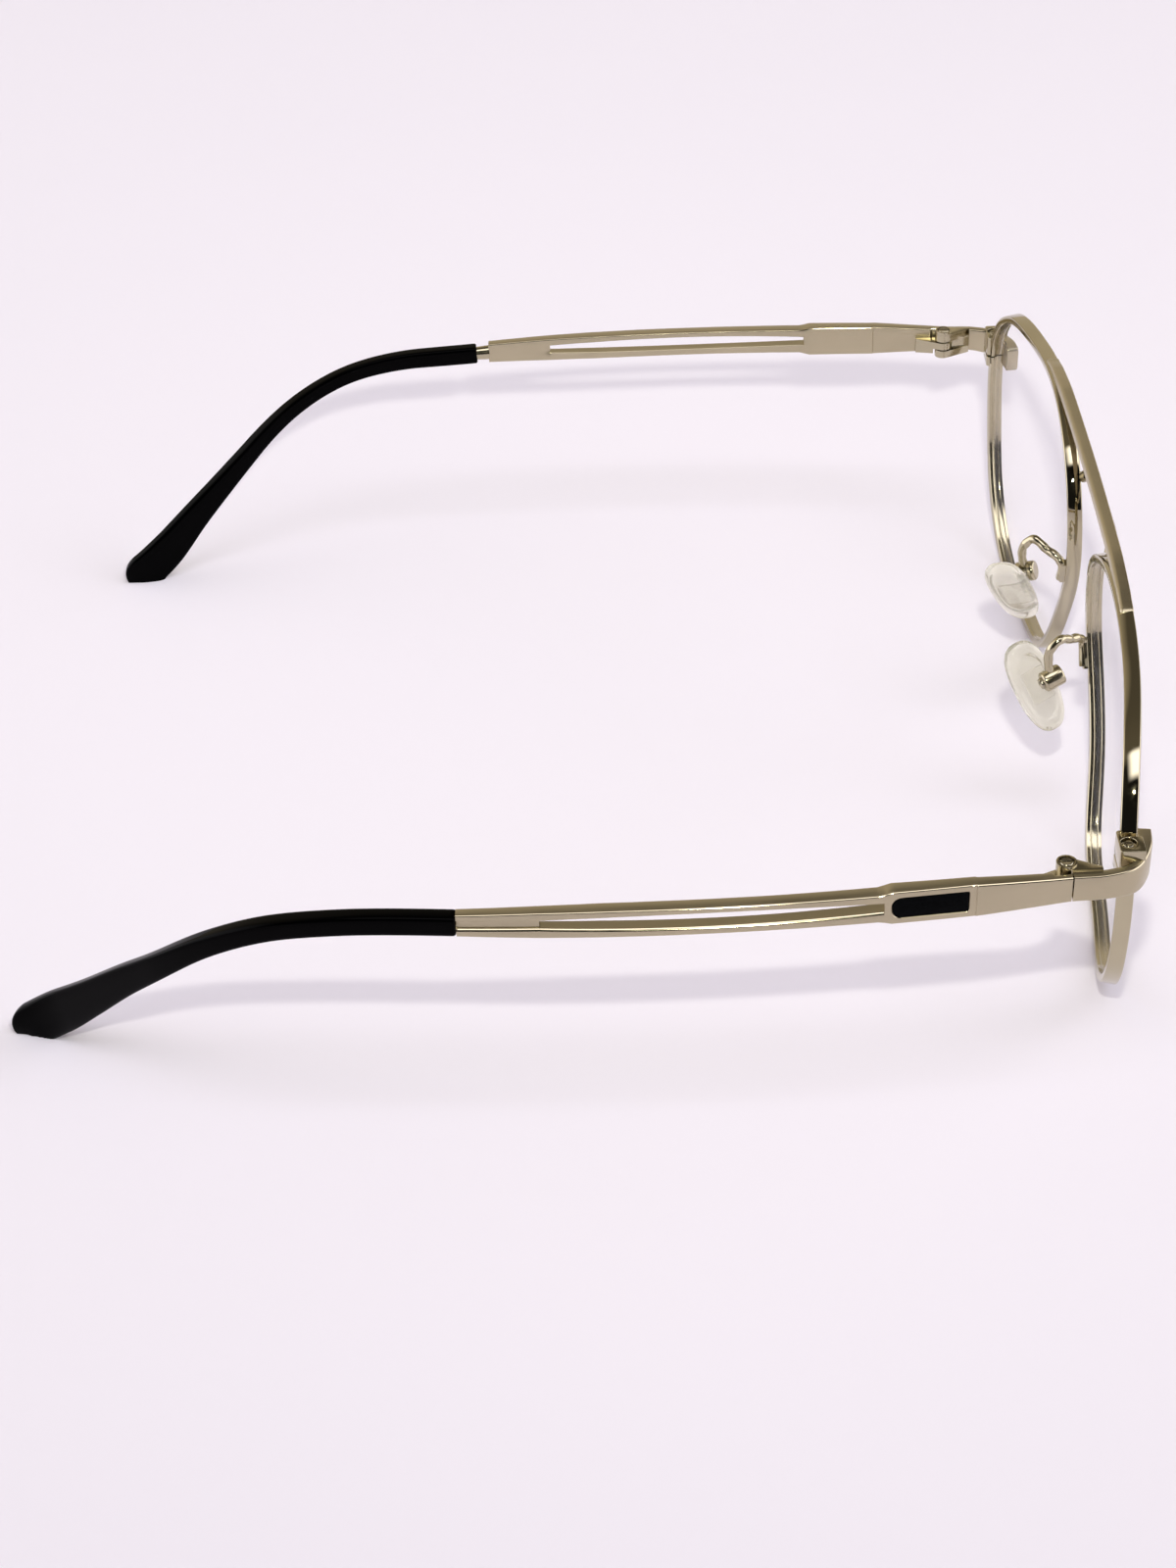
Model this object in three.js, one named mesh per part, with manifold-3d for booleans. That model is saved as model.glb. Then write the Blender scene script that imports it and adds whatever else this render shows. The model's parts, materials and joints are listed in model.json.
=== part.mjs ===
// Double-bridge metal eyeglasses, open, standing on the lower rims and the temple tips.
// Millimetres. +X is the way the wearer looks, +Y is the wearer's left, +Z is up.
// Every side piece is drawn for the left (+Y) and mirrored for the right.

import * as THREE from 'three';
import { mergeVertices } from 'three/addons/utils/BufferGeometryUtils.js';
import Module from 'manifold-3d';

const wasm = await Module();
wasm.setup();

const { degToRad, lerp, smoothstep } = THREE.MathUtils;
const vec = (x, y, z) => new THREE.Vector3(x, y, z);

// Fits
const SEAT_GAP = 0.15; // between faces that are brazed or rest on each other
const RUNNING_GAP = 0.2; // between faces that turn past each other, and round a screw

// Eyewires and lenses, measured on the eyewire's centre line
const EYE_WIDTH = 56;
const EYE_HEIGHT = 46;
const NOSE_WIDTH = 17.6;
const FRONT_REACH = 13; // hinge axis to the middle of the lens
const LENS_CURVE = 147;
const FACE_FORM = degToRad(4.5);
const RIM_DEPTH = 2.1;
const RIM_WALL = 1.1;
const RIM_EDGE = 0.22;
const GROOVE_DEPTH = 0.45;
const GROOVE_WIDTH = 1;
const LENS_THICKNESS = 1.2;
const RIM_STEPS = 60;

// Teardrop outline in half widths and half heights, from the temple side over the brow to the nose
const OUTLINE = [
  [0.98, 0.04], [0.92, 0.53], [0.66, 0.83], [0.2, 0.945], [-0.42, 1], [-0.88, 0.76],
  [-0.98, 0.25], [-0.72, -0.38], [-0.43, -0.89], [0.05, -1], [0.52, -0.92], [0.85, -0.54],
];

// Rim locks
const LOCK_RADIUS = 1.4;
const LOCK_HALF = 1.75;
const LOCK_BACK = 0.7;
const LOCK_SINK = 0.6; // depth of the pocket round the screw's head
const LOCK_WRAP = 1; // how far the blocks reach behind the rim, inward of its centre line
const LOCK_SPLIT = 0.3;

// Bridges
const BAR_LENGTH = 68;
const BAR_END_DROP = 0.5; // underside's fall toward the ends, where the rims curve away
const BAR_END_FALL = 0.8; // top's fall toward the ends
const BAR_FALL_SHARES = [0.62, 1]; // along each half of the bar, where the fall starts and ends
const BAR_THICKNESS = 1;
const BAR_DEPTH = 1.75;
const BAR_AHEAD = 0.2; // bar's middle ahead of the rims' centre line
const BAR_BOW = 0.5;
const LOW_BRIDGE_HEIGHT = 40.2; // where it meets the rims
const LOW_BRIDGE_RISE = 2;
const LOW_BRIDGE_FORWARD = 2.2;
const LOW_BRIDGE_RADIUS = 0.85;
const LOW_BRIDGE_STEP = 2.2; // straight run off the rim before it bows

// Hinges
const HINGE_OUTSET = 3.5; // hinge axis beyond the eyewire's temple side
const HINGE_HEIGHT = 32.05;
const HINGE_STACK = 3.9;
const BARREL_RADIUS = 1.25;
const RING_RISE = 0.5; // upper barrel's rim above its leaf, round the screw's head
const LEAF_LENGTH = 4.2;
const LEAF_WALL = 0.55;
const LEAF_BITE = 0.4; // temple leaf's reach past the inner face, before its seat is cut
const SPLIT_AHEAD = 0.65; // rear end of the end piece, ahead of the hinge axis

// End pieces
const END_HEIGHT = 3.6;
const CORNER_HEIGHT = 4.1;
const END_WALL = 1.25;
const END_INTO_FRONT = 6.1; // how far it runs along the front, inward of the hinge axis
const SIDE_OFFSET = 2.45; // hinge axis to the outer face at the split
const CORNER_BEHIND = 2; // where the corner turns, behind the front face
const FRONT_LEAN = 0.6; // how far the front end stands ahead of the front face
const END_CHAMFER = 0.8; // off the upper and lower corners of the front end

// Temples, behind the hinge axis
const TEMPLE_BODY = 72.1;
const TEMPLE_DROP = 1;
const TEMPLE_WALL = 1.5;
const PANEL_WALL = 2.1;
const RAIL_WALL = 1.9;
const BOW_DEPTH = 3.25;
const BOW_AT = 48;
const PANEL_START = 11;
const PANEL_END = 21;
const PANEL_HEIGHT = 4.7;
const PANEL_STEP = 0.12;
const PANEL_STEP_RUN = 0.1;
const PANEL_SHOULDER = 1.6;
const RAIL_HEIGHT = 3.95;
const REAR_HEIGHT = 3.15;
const REAR_EDGE = 0.2;
const HINGE_RELIEF = 1; // wall left beside the hinge barrels
const RELIEF_END = 1.6;
const RELIEF_RUN = 0.3;
const SLOT_START = 21.9;
const SLOT_END = 62.6;
const SLOT_HEIGHTS = [1.4, 2.2, 1.3]; // at its front end, half way and at its rear end
const SLOT_RAISE = 0.2; // slot's middle above the temple's
const RECESS_HEIGHT = 1.3; // shallow recess from the slot to the tip
const RECESS_DEPTH = 0.3;
const TEMPLE_EDGE = 0.18;
const INLAY_BACK = 0.85; // behind the panel's front step
const INLAY_LENGTH = 9.1;
const INLAY_HEIGHT = 2.85;
const INLAY_DEPTH = 0.45;
const INLAY_ROUND = 1.15;
const INLAY_CORNER = 0.3;
const CORE_RADIUS = 0.6;
const CORE_LENGTH = 42;

// Tips
const TIP_STRAIGHT = 11.3;
const TIP_BEND_RADIUS = 40;
const TIP_BEND = degToRad(44);
const TIP_SPLAY_RATIO = 0.05; // inward run over length, all along the tip
const TIP_HOOK_RATIO = 0.345; // further inward run over length, after the bend
const TIP_HALF_HEIGHT = 1.45;
const TIP_HALF_WIDTH = 1.15;
const PADDLE_HALF_HEIGHT = 3;
const PADDLE_HALF_WIDTH = 1;
const PADDLE_SHARES = [0.55, 0.93]; // along the tip, where it starts to widen and is widest
const TIP_SQUARENESS = 0.7; // 1 is an oval section, less is squarer
const TIP_LIP = 0.86;
const TIP_END_HEIGHT = -0.6; // where the centre line ends; the paddle is cut off flat at the table
const RIGHT_TIP_BACK = 0.2; // sleeve's start behind the temple body
const LEFT_TIP_BACK = 2.3;

// Nose pads and their arms
const PAD_CENTRE = vec(4.6, 12.2, 21);
const PAD_UP = vec(-0.41, -0.305, 0.84).normalize();
const PAD_LEAN = vec(-0.32, -0.86, 0);
const PAD_HALF_LENGTH = 6.8;
const PAD_HALF_WIDTH = 3;
const PAD_TAPER = 0.16;
const PAD_BACK = 1;
const PAD_CROWN = 1.25;
const PAD_CORE_LENGTH = 4.8;
const PAD_CORE_WIDTH = 3.4;
const PAD_CORE_FORWARD = 0.5;
const PAD_CORE_WALL = 0.5;
const PIVOT_BEHIND = 2.7;
const PIVOT_FORWARD = 2;
const PIVOT_UP = 0.7;
const BOX_RADIUS = 1.45;
const BOX_LENGTH = 3;
const LUG_RADIUS = 0.95;
const LUG_WALL = 0.8;
const ARM_RADIUS = 0.55;
const ARM_FOOT_LOW = 23.6;
const ARM_FOOT_HIGH = 26.8;
const ARM_CREST = 29.1;
const ARM_BELLY = vec(-1.1, 0.3, 0); // bulge behind the straight way down to the box

// Screws
const HINGE_SCREW_RADIUS = 0.55;
const LOCK_SCREW_RADIUS = 0.45;
const PAD_SCREW_RADIUS = 0.4;
const SCREW_HEAD_RATIO = 1.9;
const SUNK_HEAD_RATIO = 1.5;
const SCREW_HEAD_HEIGHT = 0.5;
const SCREW_SLOT = 0.28;

// Solids: a loft joins rings of points, and the joins and cuts keep every piece one closed body

function loft(rings, closed = false) {
  const count = rings[0].length;
  const index = [];
  const spans = closed ? rings.length : rings.length - 1;
  for (let i = 0; i < spans; i += 1) {
    const here = i * count;
    const next = ((i + 1) % rings.length) * count;
    for (let j = 0; j < count; j += 1) {
      const k = (j + 1) % count;
      index.push(here + j, here + k, next + k, here + j, next + k, next + j);
    }
  }
  if (!closed) {
    const last = (rings.length - 1) * count;
    for (const [a, b, c] of capFaces(rings[0])) index.push(c, b, a);
    for (const [a, b, c] of capFaces(rings.at(-1))) index.push(last + a, last + b, last + c);
  }
  const geometry = new THREE.BufferGeometry();
  geometry.setFromPoints(rings.flat());
  geometry.setIndex(index);
  return outward(geometry);
}

// Triangles that fill a flat ring, all turning the way the ring does
function capFaces(ring) {
  const middle = ring.reduce((sum, p) => sum.add(p), vec(0, 0, 0)).divideScalar(ring.length);
  const normal = vec(0, 0, 0);
  ring.forEach((p, i) => {
    const q = ring[(i + 1) % ring.length];
    normal.add(p.clone().sub(middle).cross(q.clone().sub(middle)));
  });
  normal.normalize();
  const along = ring[0].clone().sub(middle).normalize();
  const across = normal.clone().cross(along);
  const flat = ring.map((p) => {
    const d = p.clone().sub(middle);
    return new THREE.Vector2(d.dot(along), d.dot(across));
  });
  return THREE.ShapeUtils.triangulateShape(flat, []).map(([a, b, c]) => {
    const turn = flat[b].clone().sub(flat[a]).cross(flat[c].clone().sub(flat[a]));
    return turn > 0 ? [a, b, c] : [c, b, a];
  });
}

function reversed(geometry) {
  const index = geometry.index.array;
  for (let i = 0; i < index.length; i += 3) [index[i], index[i + 2]] = [index[i + 2], index[i]];
  return geometry;
}

function outward(geometry) {
  const p = geometry.getAttribute('position');
  const index = geometry.index.array;
  const at = (i) => vec().fromBufferAttribute(p, index[i]);
  let volume = 0;
  for (let i = 0; i < index.length; i += 3) volume += at(i).dot(at(i + 1).cross(at(i + 2)));
  return volume < 0 ? reversed(geometry) : geometry;
}

// Position-only copy with shared vertices
function bare(geometry) {
  const copy = new THREE.BufferGeometry();
  copy.setAttribute('position', geometry.getAttribute('position').clone());
  if (geometry.index) copy.setIndex(geometry.index.clone());
  return mergeVertices(copy, 1e-5);
}

function toSolid(geometry) {
  const merged = bare(geometry);
  return new wasm.Manifold(new wasm.Mesh({
    numProp: 3,
    vertProperties: new Float32Array(merged.getAttribute('position').array),
    triVerts: new Uint32Array(merged.index.array),
  }));
}

function toGeometry(solid) {
  const mesh = solid.getMesh();
  const geometry = new THREE.BufferGeometry();
  geometry.setAttribute('position', new THREE.BufferAttribute(mesh.vertProperties, 3));
  geometry.setIndex(new THREE.BufferAttribute(mesh.triVerts, 1));
  return geometry;
}

function cut(piece, ...tools) {
  return toGeometry(tools.reduce((solid, tool) => solid.subtract(toSolid(tool)), toSolid(piece)));
}

function join(piece, ...others) {
  return toGeometry(others.reduce((solid, other) => solid.add(toSolid(other)), toSolid(piece)));
}

function mirrored(geometry) {
  return reversed(bare(geometry).scale(1, -1, 1));
}

// Rod of round section along a curve
function rod(curve, radius, steps, sides = 8) {
  const section = new THREE.Shape().absarc(0, 0, radius, 0, 2 * Math.PI);
  const options = { steps, curveSegments: sides / 2, bevelEnabled: false, extrudePath: curve };
  return new THREE.ExtrudeGeometry(section, options);
}

// Upright cylinder from one height to another
function post(x, y, low, high, radius, sides = 20) {
  const geometry = new THREE.CylinderGeometry(radius, radius, high - low, sides);
  return geometry.rotateX(Math.PI / 2).translate(x, y, (low + high) / 2);
}

// Flat plate of a plan outline from one height to another
function plate(points, low, high) {
  const shape = new THREE.Shape(points.map(([x, y]) => new THREE.Vector2(x, y)));
  const options = { depth: high - low, bevelEnabled: false };
  return new THREE.ExtrudeGeometry(shape, options).translate(0, 0, low);
}

// Slotted cheese-head screw standing on z = 0, head up, its shank reaching down
function screw(radius, length, headRatio = SCREW_HEAD_RATIO) {
  const head = radius * headRatio;
  const profile = [
    [0, -length], [radius, -length], [radius, 0], [head, 0],
    [head, SCREW_HEAD_HEIGHT * 0.6], [head * 0.8, SCREW_HEAD_HEIGHT], [0, SCREW_HEAD_HEIGHT],
  ];
  const body = new THREE.LatheGeometry(profile.map(([r, h]) => new THREE.Vector2(r, h)), 16);
  const slot = new THREE.BoxGeometry(3 * head, SCREW_SLOT, SCREW_SLOT);
  return cut(body.rotateX(Math.PI / 2), slot.translate(0, 0, SCREW_HEAD_HEIGHT));
}

// Eyewire: a strip that follows the teardrop on the lens sphere, in the lens's own frame

const outlineCurve = new THREE.CatmullRomCurve3(
  OUTLINE.map(([u, v]) => vec(u, v, 0)), true, 'catmullrom', 0.5,
);
outlineCurve.arcLengthDivisions = 600;
const outlineBox = new THREE.Box3().setFromPoints(outlineCurve.getSpacedPoints(600));
const outlineMiddle = outlineBox.getCenter(vec());
const outlineSize = outlineBox.getSize(vec());

function outlineAt(t) {
  const p = outlineCurve.getPointAt(t - Math.floor(t)).sub(outlineMiddle);
  return new THREE.Vector2((p.x / outlineSize.x) * EYE_WIDTH, (p.y / outlineSize.y) * EYE_HEIGHT);
}

function onLens(p) {
  const back = p.lengthSq() / (2 * LENS_CURVE) + p.x * Math.tan(FACE_FORM);
  return vec(-back, p.x, p.y);
}

// Centre-line point with its outward and forward directions
function rimFrame(t) {
  const p = outlineAt(t);
  const step = 1e-3;
  const along = onLens(outlineAt(t + step)).sub(onLens(outlineAt(t - step))).normalize();
  const forward = vec(1, p.x / LENS_CURVE + Math.tan(FACE_FORM), p.y / LENS_CURVE).normalize();
  const out = along.clone().cross(forward).normalize();
  return { centre: onLens(p), out, forward };
}

function rimRing(t, section) {
  const { centre, out, forward } = rimFrame(t);
  return section.map(([o, f]) => centre.clone().addScaledVector(out, o).addScaledVector(forward, f));
}

const halfWall = RIM_WALL / 2;
const halfDepth = RIM_DEPTH / 2;
const RIM_SECTION = [
  [halfWall, RIM_EDGE - halfDepth], [halfWall, halfDepth - RIM_EDGE],
  [halfWall - RIM_EDGE, halfDepth], [-halfWall, halfDepth], [-halfWall, GROOVE_WIDTH / 2],
  [GROOVE_DEPTH - halfWall, 0], [-halfWall, -GROOVE_WIDTH / 2], [-halfWall, -halfDepth],
  [halfWall - RIM_EDGE, -halfDepth],
];
const SEAT_SECTION = [
  [halfWall + SEAT_GAP, -halfDepth - SEAT_GAP], [halfWall + SEAT_GAP, halfDepth + SEAT_GAP],
  [-halfWall - SEAT_GAP, halfDepth + SEAT_GAP], [-halfWall - SEAT_GAP, -halfDepth - SEAT_GAP],
];

const allRimPoints = Array.from({ length: RIM_STEPS }, (_, i) => rimRing(i / RIM_STEPS, RIM_SECTION));
const rimBox = new THREE.Box3().setFromPoints(allRimPoints.flat());
const EYE = vec(FRONT_REACH, NOSE_WIDTH / 2 + EYE_WIDTH / 2, -rimBox.min.z);
const RIM_TOP = EYE.z + rimBox.max.z;

// Place on the outline at a height above the table, searched between two places on it
function outlineAtHeight(height, from, to) {
  const rising = outlineAt(to).y > outlineAt(from).y;
  let [low, high] = [from, to];
  for (let i = 0; i < 40; i += 1) {
    const middle = (low + high) / 2;
    const above = EYE.z + outlineAt(middle).y > height;
    if (above === rising) high = middle;
    else low = middle;
  }
  return low;
}

const TEMPLE_SIDE = [-0.1, 0.12];
const NOSE_SIDE = [0.36, 0.62];
const LOCK_HEIGHT = HINGE_HEIGHT;
const lockPlace = outlineAtHeight(LOCK_HEIGHT, ...TEMPLE_SIDE);

function worldFrame(t) {
  const frame = rimFrame(t);
  frame.centre.add(EYE);
  return frame;
}

const lockFrame = worldFrame(lockPlace);
const HINGE_Y = NOSE_WIDTH / 2 + EYE_WIDTH + HINGE_OUTSET;

function eyewire() {
  const perimeter = outlineCurve.getLength() * (EYE_WIDTH / outlineSize.x);
  const trim = LOCK_SPLIT / 2 / perimeter;
  const rings = [];
  for (let i = 0; i <= RIM_STEPS; i += 1) {
    const t = lockPlace + lerp(trim, 1 - trim, i / RIM_STEPS);
    rings.push(rimRing(t, RIM_SECTION));
  }
  return loft(rings).translate(EYE.x, EYE.y, EYE.z);
}

// Whole ring, swollen by the seat gap, that shapes the seats of pieces on the eyewire
function eyewireSeat() {
  const rings = [];
  for (let i = 0; i < RIM_STEPS; i += 1) rings.push(rimRing(lockPlace + i / RIM_STEPS, SEAT_SECTION));
  return loft(rings, true).translate(EYE.x, EYE.y, EYE.z);
}

// Lens with a bevelled edge that sits in the groove
function lens() {
  const body = -halfWall - RUNNING_GAP;
  const bevel = GROOVE_DEPTH - halfWall - RUNNING_GAP;
  const half = LENS_THICKNESS / 2;
  const edgeRing = (inset, lift) => {
    const ring = [];
    for (let i = 0; i < RIM_STEPS; i += 1) ring.push(...rimRing(lockPlace + i / RIM_STEPS, [[inset, lift]]));
    return ring;
  };
  const innerRing = (share, lift) => {
    const ring = [];
    for (let i = 0; i < RIM_STEPS; i += 1) {
      const p = outlineAt(lockPlace + i / RIM_STEPS).multiplyScalar(share);
      ring.push(onLens(p).add(vec(lift, 0, 0)));
    }
    return ring;
  };
  const rings = [
    innerRing(0.2, -half), innerRing(0.65, -half), edgeRing(body, -half), edgeRing(bevel, 0),
    edgeRing(body, half), innerRing(0.65, half), innerRing(0.2, half),
  ];
  return loft(rings).translate(EYE.x, EYE.y, EYE.z);
}

// Rim lock: two blocks brazed to the ends of the eyewire and drawn together by a screw

const lockAxis = vec(
  lockFrame.centre.x - LOCK_BACK, lockFrame.centre.y + halfWall + SEAT_GAP + LOCK_RADIUS, LOCK_HEIGHT,
);

function lockBlock(low, high) {
  const shape = new THREE.Shape();
  const rimBack = lockFrame.centre.x - halfDepth - SEAT_GAP;
  const wrap = lockFrame.centre.y - LOCK_WRAP;
  const rimFront = lockFrame.centre.x + halfDepth;
  shape.moveTo(rimFront, lockFrame.centre.y);
  shape.lineTo(rimFront, lockAxis.y + LOCK_RADIUS);
  shape.absarc(lockAxis.x, lockAxis.y, LOCK_RADIUS, Math.PI / 2, Math.PI);
  shape.lineTo(lockAxis.x - LOCK_RADIUS, wrap);
  shape.lineTo(rimBack, wrap);
  shape.lineTo(rimBack, lockFrame.centre.y);
  const options = { depth: high - low, curveSegments: 10, bevelEnabled: false };
  const block = new THREE.ExtrudeGeometry(shape, options).translate(0, 0, low);
  const bore = post(lockAxis.x, lockAxis.y, low - 1, high + 1, LOCK_SCREW_RADIUS + RUNNING_GAP, 14);
  const head = LOCK_SCREW_RADIUS * SUNK_HEAD_RATIO + RUNNING_GAP;
  const pocket = post(lockAxis.x, lockAxis.y, lockTop - LOCK_SINK, high + 1, head);
  return cut(block, eyewireSeat(), endPiece(SEAT_GAP), bore, pocket);
}

const lockTop = LOCK_HEIGHT + LOCK_SPLIT / 2 + LOCK_HALF;
const lockBottom = LOCK_HEIGHT - LOCK_SPLIT / 2 - LOCK_HALF;

function lockScrew() {
  const seat = lockTop - LOCK_SINK + SEAT_GAP;
  const length = seat - lockBottom - RUNNING_GAP;
  return screw(LOCK_SCREW_RADIUS, length, SUNK_HEAD_RATIO).translate(lockAxis.x, lockAxis.y, seat);
}

// End piece: a strip from the hinge split, round the front corner and along the front of the rim

const frontFace = lockFrame.centre.x + halfDepth + SEAT_GAP + END_WALL;
const endPath = new THREE.CatmullRomCurve3([
  vec(SPLIT_AHEAD, HINGE_Y + SIDE_OFFSET, 0),
  vec(frontFace * 0.46, HINGE_Y + SIDE_OFFSET * 0.86, 0),
  vec(frontFace - CORNER_BEHIND, HINGE_Y + SIDE_OFFSET * 0.25, 0),
  vec(frontFace + FRONT_LEAN / 6, HINGE_Y - END_INTO_FRONT * 0.45, 0),
  vec(frontFace + FRONT_LEAN, HINGE_Y - END_INTO_FRONT, 0),
]);

function endPiece(grow = 0) {
  const rings = [];
  const steps = 16;
  for (let i = 0; i <= steps; i += 1) {
    const along = endPath.getTangentAt(i / steps);
    const outer = endPath.getPointAt(i / steps);
    const inward = vec(along.y, -along.x, 0);
    const corner = smoothstep(i / steps, 0.2, 0.6) * (1 - smoothstep(i / steps, 0.75, 1));
    const height = lerp(END_HEIGHT, CORNER_HEIGHT, corner);
    const trim = i === steps ? END_CHAMFER : 0;
    const top = HINGE_HEIGHT + END_HEIGHT / 2;
    const high = top + grow - trim;
    const low = top - height - grow + trim;
    const edge = TEMPLE_EDGE;
    const at = (depth, z) => outer.clone().addScaledVector(inward, depth).setZ(z);
    const near = -grow;
    const far = END_WALL + grow;
    rings.push([
      at(near, low + edge), at(near, high - edge), at(near + edge, high), at(far - edge, high),
      at(far, high - edge), at(far, low + edge), at(far - edge, low), at(near + edge, low),
    ]);
  }
  return loft(rings);
}

// Three-barrel hinge: two barrels on the front leaf, one between them on the temple leaf

const barrelHeight = (HINGE_STACK - 2 * RUNNING_GAP) / 3;
const stackBottom = HINGE_HEIGHT - HINGE_STACK / 2;
const stackTop = HINGE_HEIGHT + HINGE_STACK / 2;
const middleLow = stackBottom + barrelHeight + RUNNING_GAP;
const middleHigh = middleLow + barrelHeight;
const leafClear = BARREL_RADIUS + RUNNING_GAP;

function hingeBore() {
  return post(0, 0, stackBottom - 1, stackTop + 1, HINGE_SCREW_RADIUS + RUNNING_GAP, 14);
}

// Leaf outline in plan, from its barrel along the side; the web beside the barrels is full height
function leaf(direction, barrels, outer, webTop) {
  const tail = direction * LEAF_LENGTH;
  const tongue = [[0, outer], [tail, outer], [tail, outer - LEAF_WALL], [0, -BARREL_RADIUS * 0.8]];
  const web = [
    [direction * leafClear, outer], [tail, outer], [tail, outer - LEAF_WALL],
    [direction * leafClear, outer - 2 * LEAF_WALL],
  ];
  const pieces = barrels.flatMap(([low, high]) => [
    post(0, 0, low, high, BARREL_RADIUS), plate(tongue, low, high),
  ]);
  return cut(join(plate(web, stackBottom, webTop), ...pieces), hingeBore());
}

function frontLeaf() {
  const seat = BARREL_RADIUS * 0.9;
  const barrels = [[stackBottom, middleLow - RUNNING_GAP], [middleHigh + RUNNING_GAP, stackTop]];
  const endSeat = endPiece(SEAT_GAP).translate(0, -HINGE_Y, 0);
  const ring = post(0, 0, stackTop - barrelHeight / 2, stackTop + RING_RISE, BARREL_RADIUS);
  const head = HINGE_SCREW_RADIUS * SUNK_HEAD_RATIO + RUNNING_GAP;
  const pocket = post(0, 0, stackTop, stackTop + 1, head);
  return cut(join(leaf(1, barrels, seat, stackTop), ring), endSeat, hingeBore(), pocket);
}

function templeLeaf() {
  const seat = SIDE_OFFSET - TEMPLE_WALL + LEAF_BITE;
  return cut(leaf(-1, [[middleLow, middleHigh]], seat, middleHigh), templeBeam(SEAT_GAP));
}

function hingeScrew() {
  const length = HINGE_STACK - RUNNING_GAP;
  return screw(HINGE_SCREW_RADIUS, length, SUNK_HEAD_RATIO).translate(0, 0, stackTop + SEAT_GAP);
}

// Temple, drawn about its hinge axis: x runs back to negative, y is outward from the axis

const sideAt = (x) => SIDE_OFFSET + BOW_DEPTH * (1 - ((x + BOW_AT) / BOW_AT) ** 2);
const middleAt = (x) => HINGE_HEIGHT + (TEMPLE_DROP * x) / TEMPLE_BODY;
const templeFront = SPLIT_AHEAD - 2 * SEAT_GAP;
const heightBefore = (back) => lerp(END_HEIGHT, PANEL_HEIGHT, back / PANEL_START);
const halfway = (RELIEF_END + PANEL_START) / 2;
const TEMPLE_STATIONS = [
  // x, height, wall, how far the outer face stands out
  [templeFront, END_HEIGHT, HINGE_RELIEF, PANEL_STEP],
  [-RELIEF_END, heightBefore(RELIEF_END), HINGE_RELIEF, PANEL_STEP],
  [-RELIEF_END - RELIEF_RUN, heightBefore(RELIEF_END + RELIEF_RUN), TEMPLE_WALL, PANEL_STEP],
  [-halfway, heightBefore(halfway), lerp(TEMPLE_WALL, PANEL_WALL, 0.25), PANEL_STEP],
  [PANEL_STEP_RUN - PANEL_START, PANEL_HEIGHT, lerp(TEMPLE_WALL, PANEL_WALL, 0.5), PANEL_STEP],
  [-PANEL_START, PANEL_HEIGHT, lerp(TEMPLE_WALL, PANEL_WALL, 0.5), 0],
  [-PANEL_END, PANEL_HEIGHT, PANEL_WALL, 0],
  [-PANEL_END - PANEL_SHOULDER / 2, lerp(PANEL_HEIGHT, RAIL_HEIGHT, 0.6), PANEL_WALL, 0],
  [-PANEL_END - PANEL_SHOULDER, RAIL_HEIGHT, lerp(PANEL_WALL, RAIL_WALL, 0.5), 0],
  [lerp(-PANEL_END, -BOW_AT, 0.5), RAIL_HEIGHT, RAIL_WALL, 0],
  [-BOW_AT, RAIL_HEIGHT, RAIL_WALL, 0],
  [lerp(-BOW_AT, -SLOT_END, 0.5), lerp(RAIL_HEIGHT, REAR_HEIGHT, 0.1), RAIL_WALL, 0],
  [-SLOT_END, lerp(RAIL_HEIGHT, REAR_HEIGHT, 0.3), lerp(TEMPLE_WALL, RAIL_WALL, 0.5), 0],
  [REAR_EDGE - TEMPLE_BODY, REAR_HEIGHT, TEMPLE_WALL, 0],
  [-TEMPLE_BODY, REAR_HEIGHT - 2 * REAR_EDGE, TEMPLE_WALL - 2 * REAR_EDGE, -REAR_EDGE],
];

function templeBeam(grow = 0) {
  const rings = TEMPLE_STATIONS.map(([x, height, wall, stand]) => {
    const half = height / 2 + grow;
    const outer = sideAt(x) + stand + grow;
    const inner = outer - wall - 2 * grow;
    const edge = TEMPLE_EDGE;
    const at = (y, rise) => vec(x, y, middleAt(x) + rise);
    return [
      at(outer, edge - half), at(outer, half - edge), at(outer - edge, half), at(inner + edge, half),
      at(inner, half - edge), at(inner, edge - half), at(inner + edge, -half), at(outer - edge, -half),
    ];
  });
  return loft(rings);
}

// Straight-sided cutter that follows the temple's bow and drop, its height given at both ends and half way
function bowedCutter(from, to, [first, middle, last], inner, outer) {
  const rings = [];
  const steps = 10;
  for (let i = 0; i <= steps; i += 1) {
    const share = i / steps;
    const x = lerp(-from, -to, share);
    const height = lerp(lerp(first, last, share), middle, 4 * share * (1 - share));
    const at = (y, rise) => vec(x, sideAt(x) + y, middleAt(x) + SLOT_RAISE + rise * height);
    rings.push([at(inner, -0.5), at(inner, 0.5), at(outer, 0.5), at(outer, -0.5)]);
  }
  return loft(rings);
}

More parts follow.
